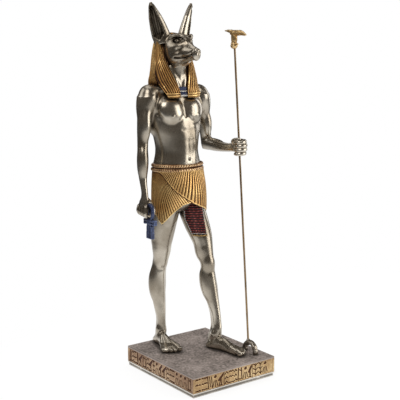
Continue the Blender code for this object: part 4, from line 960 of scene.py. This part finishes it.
def strokes_relief(width, height, seed):
    """A height map from 0 to 1 of sunk strokes in cells between upright dividers; they are not letters."""
    across, up = int(width / FRIEZE_STEP), int(height / FRIEZE_STEP)
    gx, gy = np.meshgrid((np.arange(across) + 0.5) * FRIEZE_STEP, (np.arange(up) + 0.5) * FRIEZE_STEP)
    sunk = np.zeros_like(gx)
    random = np.random.default_rng(seed)

    def stroke(x0, y0, x1, y1, wide=0.42):
        nonlocal sunk
        dx, dy = x1 - x0, y1 - y0
        t = np.clip(((gx - x0) * dx + (gy - y0) * dy) / (dx * dx + dy * dy + 1e-9), 0, 1)
        gap = np.hypot(gx - x0 - t * dx, gy - y0 - t * dy)
        sunk = np.maximum(sunk, np.clip((wide - gap) / 0.22 + 0.5, 0, 1))

    def wave(x0, x1, level, rise, count=4):
        spots = np.linspace(x0, x1, count + 1)
        for i in range(count):
            stroke(spots[i], level + rise * (i % 2), spots[i + 1], level + rise * ((i + 1) % 2), 0.34)

    place, cell = 2.2, 0
    low, top, middle = 1.2, height - 1.2, height / 2
    while place < width - 5:
        room = random.choice((3.2, 3.8, 4.6, 5.4))
        if place + room > width - 1.8:
            break
        kind = random.choice((0, 1, 1, 2, 2, 3, 3, 3, 4, 5, 6, 6, 7, 7))
        a, b, mid = place + 0.5, place + room - 0.5, place + room / 2
        lean = random.uniform(-0.5, 0.5)
        if kind == 0:
            for i in range(3):
                spot = a + (b - a) * i / 2
                stroke(spot + 0.4, low + 0.9 * (i % 2), spot - 0.4, top - 0.5 * i, 0.4)
        elif kind == 1:
            wave(a, b, top - 0.8, 0.8)
            wave(a, b, middle - 0.2, 0.7)
            stroke(a, low, b, low + 0.4 * lean)
        elif kind == 2:
            stroke(mid + lean, low, mid - lean, top, 0.36)
            for i in range(3):
                level = low + 0.5 + (top - low - 2) * i / 2
                stroke(mid, level, b, level + 1.5, 0.34)
                stroke(mid, level + 0.3, a, level + 1.6, 0.34)
        elif kind == 3:
            stroke(a + 0.4, middle - 0.2 + lean, b - 0.6, top - 1.6, 0.95)
            stroke(b - 0.5, top - 0.9, b + 0.2, top - 0.4, 0.5)
            stroke(a + 0.5, low, mid - 0.2, middle - 0.4, 0.34)
            stroke(mid + 0.6, low, mid + 0.3, middle, 0.34)
            stroke(a, low, mid + 1, low, 0.34)
        elif kind == 4:
            for i in range(3):
                for j in range(2):
                    level = low + 0.3 + (top - low - 0.6) * i / 2
                    stroke(a + (b - a - 0.9) * j, level, a + 0.9 + (b - a - 0.9) * j, level + 0.4 * lean,
                        0.5)
        elif kind == 5:
            for i in range(3):
                level = low + 0.2 + (top - low - 1.8) * i / 2
                stroke(a, level, mid + lean, level + 1.5, 0.36)
                stroke(mid + lean, level + 1.5, b, level + 0.2, 0.36)
        elif kind == 6:
            stroke(a + 0.3, low, a + 0.7, top, 0.5)
            stroke(b - 0.3, low + 1.4, b - 0.9, top - 0.3, 0.5)
            wave(a, b, low + 0.2, 0.6)
            stroke(a + 0.5, top - 1.1, b - 0.4, top - 2.3, 0.34)
        else:
            stroke(mid - 0.3, top - 1.5, mid + 0.3, top - 1.2, 1)
            for i in range(3):
                spot = a + (b - a) * i / 2
                stroke(mid + (spot - mid) * 0.5, middle - 0.1, spot, low + 0.5 * abs(i - 1), 0.34)
        place += room
        cell += 1
        if cell % 6 == 0:
            place += 0.4
            stroke(place, 0.2, place, height - 0.2, 0.26)
            place += 0.4
    return sunk


HALF_X, HALF_Y, PLINTH_TALL = PLINTH[0] / 2, PLINTH[1] / 2, PLINTH[2]
FRIEZE_LOW = PLINTH_FOOT + 0.9
FRIEZE_HIGH = PLINTH_TALL - RIM_HEIGHT
FRIEZE_STEP = 0.28
TOP_STEP = 0.5
TOP_BEVEL = 0.7
POINTS_PER_SIDE = 90


def make_plinth_top():
    """The pebbled top inside its smoother rim."""
    gx, gy = np.meshgrid(np.linspace(-HALF_X + TOP_BEVEL, HALF_X - TOP_BEVEL, int(PLINTH[0] / TOP_STEP)),
        np.linspace(-HALF_Y + TOP_BEVEL, HALF_Y - TOP_BEVEL, int(PLINTH[1] / TOP_STEP)))
    grit = soft_noise(gx.shape, 5, 2)
    broad = soft_noise(gx.shape, 6, 40)
    edge = np.minimum(np.minimum(HALF_X - np.abs(gx), HALF_Y - np.abs(gy)), 3)
    rim = np.clip((2 - edge) / 0.5, 0, 1)
    keep = np.clip((edge - TOP_BEVEL) / 0.5, 0, 1)
    height = PLINTH_TALL - 0.3 * (1 - grit) * keep * (1 - rim * 0.7) - 0.1 * (1 - broad) * keep
    # Painted shade in the pebbled top's hollows, and a little along its rim.
    sunk = np.clip((1 - grit) * 0.9 * (1 - 0.4 * rim) + 0.12 * rim, 0, 1)
    sheet_piece("plinth_top", np.stack((gx, gy, height), -1), PEBBLED, "plinth", sunk,
        closed=False)


def make_frieze(number):
    """One side of the frieze: a sunk field of strokes inside a plain border."""
    run, out = (HALF_X, HALF_Y) if number % 2 == 0 else (HALF_Y, HALF_X)
    c, s = math.cos(number * math.pi / 2), math.sin(number * math.pi / 2)
    low, high = FRIEZE_LOW, FRIEZE_HIGH
    sunk = strokes_relief(2 * run, high - low, 11 + number)
    rows, columns = sunk.shape
    along = np.linspace(-run, run, columns)[None, :] + np.zeros((rows, 1))
    z = np.linspace(low, high, rows)[:, None] + np.zeros((1, columns))
    rough = soft_noise(sunk.shape, 31 + number, 3)
    border = np.clip((np.abs(along) - (run - 1.3)) / 0.3, 0, 1)
    edge_dark = np.exp(-((z - low) / 0.5) ** 2) + np.exp(-((high - z) / 0.5) ** 2)
    line = np.exp(-((z - low - 0.35) / 0.28) ** 2) + np.exp(-((high - 0.35 - z) / 0.28) ** 2)
    depth = 0.38 * (1 - border) + 0.55 * sunk * (1 - border) + 0.1 * rough - 0.16 * line * (1 - border)
    py = depth - out
    points = np.stack((c * along - s * py, s * along + c * py, z), -1)
    # Painted shade in the sunk strokes and along the top and bottom edges, with a tone that differs at
    # random.
    shade = np.clip(0.9 * sunk + 0.25 * rough + 0.3 * edge_dark, 0, 1)
    # The side toward the figure's right takes the painted-shade copy of the frieze gold.
    sheet_piece(f"frieze_{number + 1}", points, SHADED_FRIEZE if number == 3 else FRIEZE, "plinth",
        shade, closed=False)


def make_band(name, profile, surface):
    """A moulding round the plinth, from rows of height and inset."""
    rings = []
    for z, inset in profile:
        hx, hy = HALF_X - inset, HALF_Y - inset
        corners = [(-hx, -hy), (hx, -hy), (hx, hy), (-hx, hy)]
        rings.append([(ax + (bx - ax) * t, ay + (by - ay) * t, z) for (ax, ay),
            (bx, by) in zip(corners, corners[1:] + corners[:1])
            for t in np.arange(POINTS_PER_SIDE) / POINTS_PER_SIDE])
    # Painted shade in the small grooves and on the tucked-in edges; the upper band is painted a little
    # darker overall.
    sunk = np.array([1.0 if 0.1 < inset < 0.2 or inset > 0.8 else 0.4 * (z > 5) for z, inset in profile])
    shade = np.repeat(sunk[:, None], 4 * POINTS_PER_SIDE, 1)
    made = sheet_piece(name, np.array(rings), surface, "plinth", shade)
    made.data.set_sharp_from_angle(angle=math.radians(40))


def make_plinth():
    """The top, four sides of frieze, the mouldings and the underside."""
    make_plinth_top()
    for number in range(4):
        make_frieze(number)
    low, tall = FRIEZE_HIGH, PLINTH_TALL
    make_band("plinth_rim", [(low, 0.4), (low, 0), (low + 0.55, 0), (low + 0.62, 0.12), (low + 0.74, 0.12),
        (low + 0.82, 0), (tall - 0.62, 0), (tall - 0.3, 0.12), (tall - 0.08, 0.38), (tall, 0.72),
        (tall - 0.05, 0.95)], PEBBLED)
    make_band("plinth_foot", [(0, 0.9), (0, 0.62), (0.9, 0.6), (1, 0.85), (1.25, 0.85), (1.35, 0.6),
        (2.5, 0.6), (2.6, 0.3), (2.62, 0), (3.1, 0), (3.45, 0.06), (3.5, 0.45)], BAND)
    grid = np.zeros((12, 12, 3))
    grid[..., 0] = np.linspace(-HALF_X + TOP_BEVEL, HALF_X - TOP_BEVEL, 12)[None, :]
    grid[..., 1] = np.linspace(-HALF_Y + TOP_BEVEL, HALF_Y - TOP_BEVEL, 12)[:, None]
    sheet_piece("plinth_underside", grid, BAND, "plinth", closed=False, flip=True)


# Staff
def staff_point(z):
    """The middle of the rod at a height above the soles."""
    return STAFF_LOW + (GRIP - STAFF_LOW) / (GRIP[2] - STAFF_LOW[2]) * z


def make_rod():
    """The staff's thin rod: level rings along its leaning middle line."""
    rows, columns = 160, 20
    z = np.linspace(7.4, STAFF_TOP - 5, rows)
    turn = 2 * np.pi * np.arange(columns) / columns
    radius = STAFF_RADIUS + (0.02 * np.sin(z * 0.23) + 0.015 * np.sin(z * 0.61 + 1))
    ring = np.stack((np.cos(turn), np.sin(turn), np.zeros(columns)), -1)
    centre = np.array([staff_point(level) for level in z])
    sheet_piece("staff_rod", centre[:, None, :] + radius[:, None, None] * ring[None], ROD, "staff_rod")


def make_staff_head():
    """A slender animal's head on a socket, drawn from the rod's top."""
    seat = staff_point(STAFF_TOP)
    clay = Clay(seat - (5, 19, 8), seat + (5, 15, 12), 0.25)
    whole = Local(clay, 1, seat)
    whole.limb([(0, 0.3, -4, 2.9), (0, 0.2, -2.2, 2.3), (0, 0.2, 0.6, 2.4), (0, 0.2, 3.4, 2.5),
        (0, -0.4, 5, 2.4)], soft=0.8)
    whole.limb([(0, -4.3, -3.2, 0.7), (0, -2.4, -2.8, 0.8)], soft=0.5)
    whole.limb([(0, -3.4, 0.2, 0.6), (0, -2, 0.4, 0.7)], soft=0.5)
    whole.limb([(0, 2.6, 5.4, 2), (0, -1.6, 5.4, 2.3), (0, -5, 5.4, 2.2), (0, -8.6, 5.3, 1.9),
        (0, -11.6, 4.4, 1.3), (0, -13.6, 3.9, 0.8)], soft=0.8)
    whole.limb([(0, 3, 5.8, 1.1), (0, 7.4, 6.7, 0.85), (0, 11.4, 7.2, 0.5)], soft=0.8)
    for half in (Local(clay, -1, seat), Local(clay, 1, seat)):
        half.limb([(1.2, 2.4, 6.8, 0.65), (1.5, 5, 7.5, 0.6), (1.2, 7.6, 7.6, 0.35)], soft=0.4)
        half.ball((2, -5.1, 5.9), (0.6, 0.9, 0.6), soft=0.25)
        half.limb([(1.3, -2.6, 7.1, 0.5), (1.7, -5, 7.2, 0.55), (1.2, -7.6, 6.9, 0.4)], soft=0.5)
        half.groove([(1.2, -13, 3.7), (1.9, -8, 4.4)], 0.35, 0.35)
    for level in (-3.4, -1.2):
        whole.groove([(2.6 * math.cos(a), 0.2 + 2.6 * math.sin(a), level)
            for a in np.linspace(0, 2 * math.pi, 13)], 0.35, 0.4)
    clay_piece("staff_head", clay, PALE_GOLD, "staff_head")


def make_staff_foot():
    """A forked end that stands astride, under the rod."""
    gx, gy, _ = staff_point(0) - (0, 1.8, 0)
    clay = Clay((gx - 4, gy - 10, -1), (gx + 4, gy + 10, 12), 0.26)
    whole = Local(clay, 1, (gx, gy, 0))
    for side in (-0.75, 0.75):
        whole.limb([(side, math.cos(t) * 6.6, math.sin(t) ** 0.8 * 7.9 + 0.3, 1.55)
            for t in np.linspace(0, math.pi, 15)], soft=0.6, smooth=False)
    whole.ball((0, -6.4, 1.4), (2.2, 1.7, 2), soft=0.6)
    whole.ball((0, 6.2, 1.6), (2.2, 1.7, 2.2), soft=0.6)
    clay.limb([(*staff_point(6.6), 1.7), (*staff_point(9.6), 1.35)], soft=0.8, smooth=False)
    whole.groove([(-2.2, -6.4, 4), (0, -8, 4.2), (2.2, -6.4, 4)], 0.4, 0.35)
    clay_piece("staff_foot", clay, DARK_BRONZE, "staff_foot")


make_body()
make_kilt()
make_belt()
make_headcloth()
make_lappets()
make_collar()
make_apron()
make_looped_cross()
make_plinth()
make_rod()
make_staff_head()
make_staff_foot()


# Studio
def area_light(name, place, size, power, target=(0, 0, 0.15), colour=(1, 1, 1)):
    data = bpy.data.lights.new(name, "AREA")
    data.shape = "RECTANGLE"
    data.size, data.size_y = size
    data.energy = power
    data.color = colour
    made = bpy.data.objects.new(name, data)
    made.location = place
    made.rotation_euler = (Vector(target) - Vector(place)).to_track_quat("-Z", "Y").to_euler()
    bpy.context.collection.objects.link(made)


def studio_floor():
    """A white floor: even white to the camera, bright near the figure and dark far off in reflections."""
    made = bpy.data.materials.new("floor")
    nodes = Nodes(made)
    paint = made.node_tree.nodes["Principled BSDF"]
    noise = nodes.make("TexNoise", "Fac", {"Scale": 3})
    nodes.join(paint, {"Base Color": nodes.colour_mix(noise, FLOOR_WHITE, FLOOR_SHADE), "Roughness": 0.7})
    place = nodes.make("TexCoord", "Object", {})
    from_middle = nodes.make("VectorMath", "Vector", {0: place, 1: (0.12, -0.18, 0)}, operation="SUBTRACT")
    reach = nodes.make("VectorMath", "Value", {0: from_middle}, operation="LENGTH")
    white = nodes.make("Emission", "Emission", {"Color": CAMERA_WHITE})
    seen = nodes.make("MixShader", 0, {0: nodes.span(reach, 0.06, 0.4, 0.72, 1), 1: paint.outputs["BSDF"],
        2: white})
    # Painted light: to every ray but the camera's the floor glows, bright near the figure and dark far off.
    glow = nodes.make("Emission", "Emission", {"Strength": nodes.span(reach, 0.38, 0.86, 1.15, 0.05)})
    to_camera = nodes.make("LightPath", "Is Camera Ray", {})
    surface = nodes.make("MixShader", 0, {0: to_camera, 1: glow, 2: seen})
    nodes.join(made.node_tree.nodes["Material Output"], {"Surface": surface})
    return made


def make_world():
    """A white room to the camera, a soft fill for matt light and a dim room in reflections."""
    world = bpy.data.worlds.new("studio")
    bpy.context.scene.world = world
    nodes = Nodes(world)
    matt = nodes.make("LightPath", "Is Diffuse Ray", {})
    to_camera = nodes.make("LightPath", "Is Camera Ray", {})
    room = nodes.colour_mix(to_camera, nodes.colour_mix(matt, REFLECTED_ROOM, SOFT_FILL), CAMERA_WHITE)
    nodes.join(world.node_tree.nodes["Background"], {"Color": room, "Strength": 1})


def make_studio():
    reach = 6
    mesh = bpy.data.meshes.new("floor")
    mesh.from_pydata([(-reach, -reach, 0), (reach, -reach, 0), (reach, reach, 0), (-reach, reach, 0)], [],
        [(0, 1, 2, 3)])
    mesh.materials.append(studio_floor())
    floor = bpy.data.objects.new("floor", mesh)
    bpy.context.collection.objects.link(floor)
    make_world()
    area_light("key", (0.9, -0.9, 0.42), (0.84, 0.9), 7.8, colour=(1, 0.975, 0.93))
    area_light("top", (0.1, 0.2, 1.25), (0.9, 0.9), 3.6)
    area_light("top_left", (-0.62, -0.42, 1), (0.56, 0.56), 4, colour=(1, 0.98, 0.96))
    area_light("right_side", (1.2, 0.22, 0.45), (0.35, 1), 2.6)
    area_light("back_left", (-0.86, 0.78, 1), (0.85, 0.75), 3.4, target=(0, 0, 0.25))
    area_light("back_right", (0.4, 1.1, 0.5), (0.25, 0.8), 0.9)


def make_camera():
    data = bpy.data.cameras.new("camera")
    data.sensor_width = 36
    data.lens = 80.69
    data.clip_start, data.clip_end = 0.01, 50
    made = bpy.data.objects.new("camera", data)
    bpy.context.collection.objects.link(made)
    azimuth, elevation = math.radians(-36.7), math.radians(9.93)
    back = Vector((math.sin(azimuth) * math.cos(elevation), -math.cos(azimuth) * math.cos(elevation),
        math.sin(elevation)))
    made.location = (-0.41435, -0.55606, 0.26149)
    made.rotation_mode = "QUATERNION"
    made.rotation_quaternion = (-back).to_track_quat("-Z", "Y")
    bpy.context.scene.camera = made


make_studio()
make_camera()
bpy.context.scene.view_settings.view_transform = "Standard"
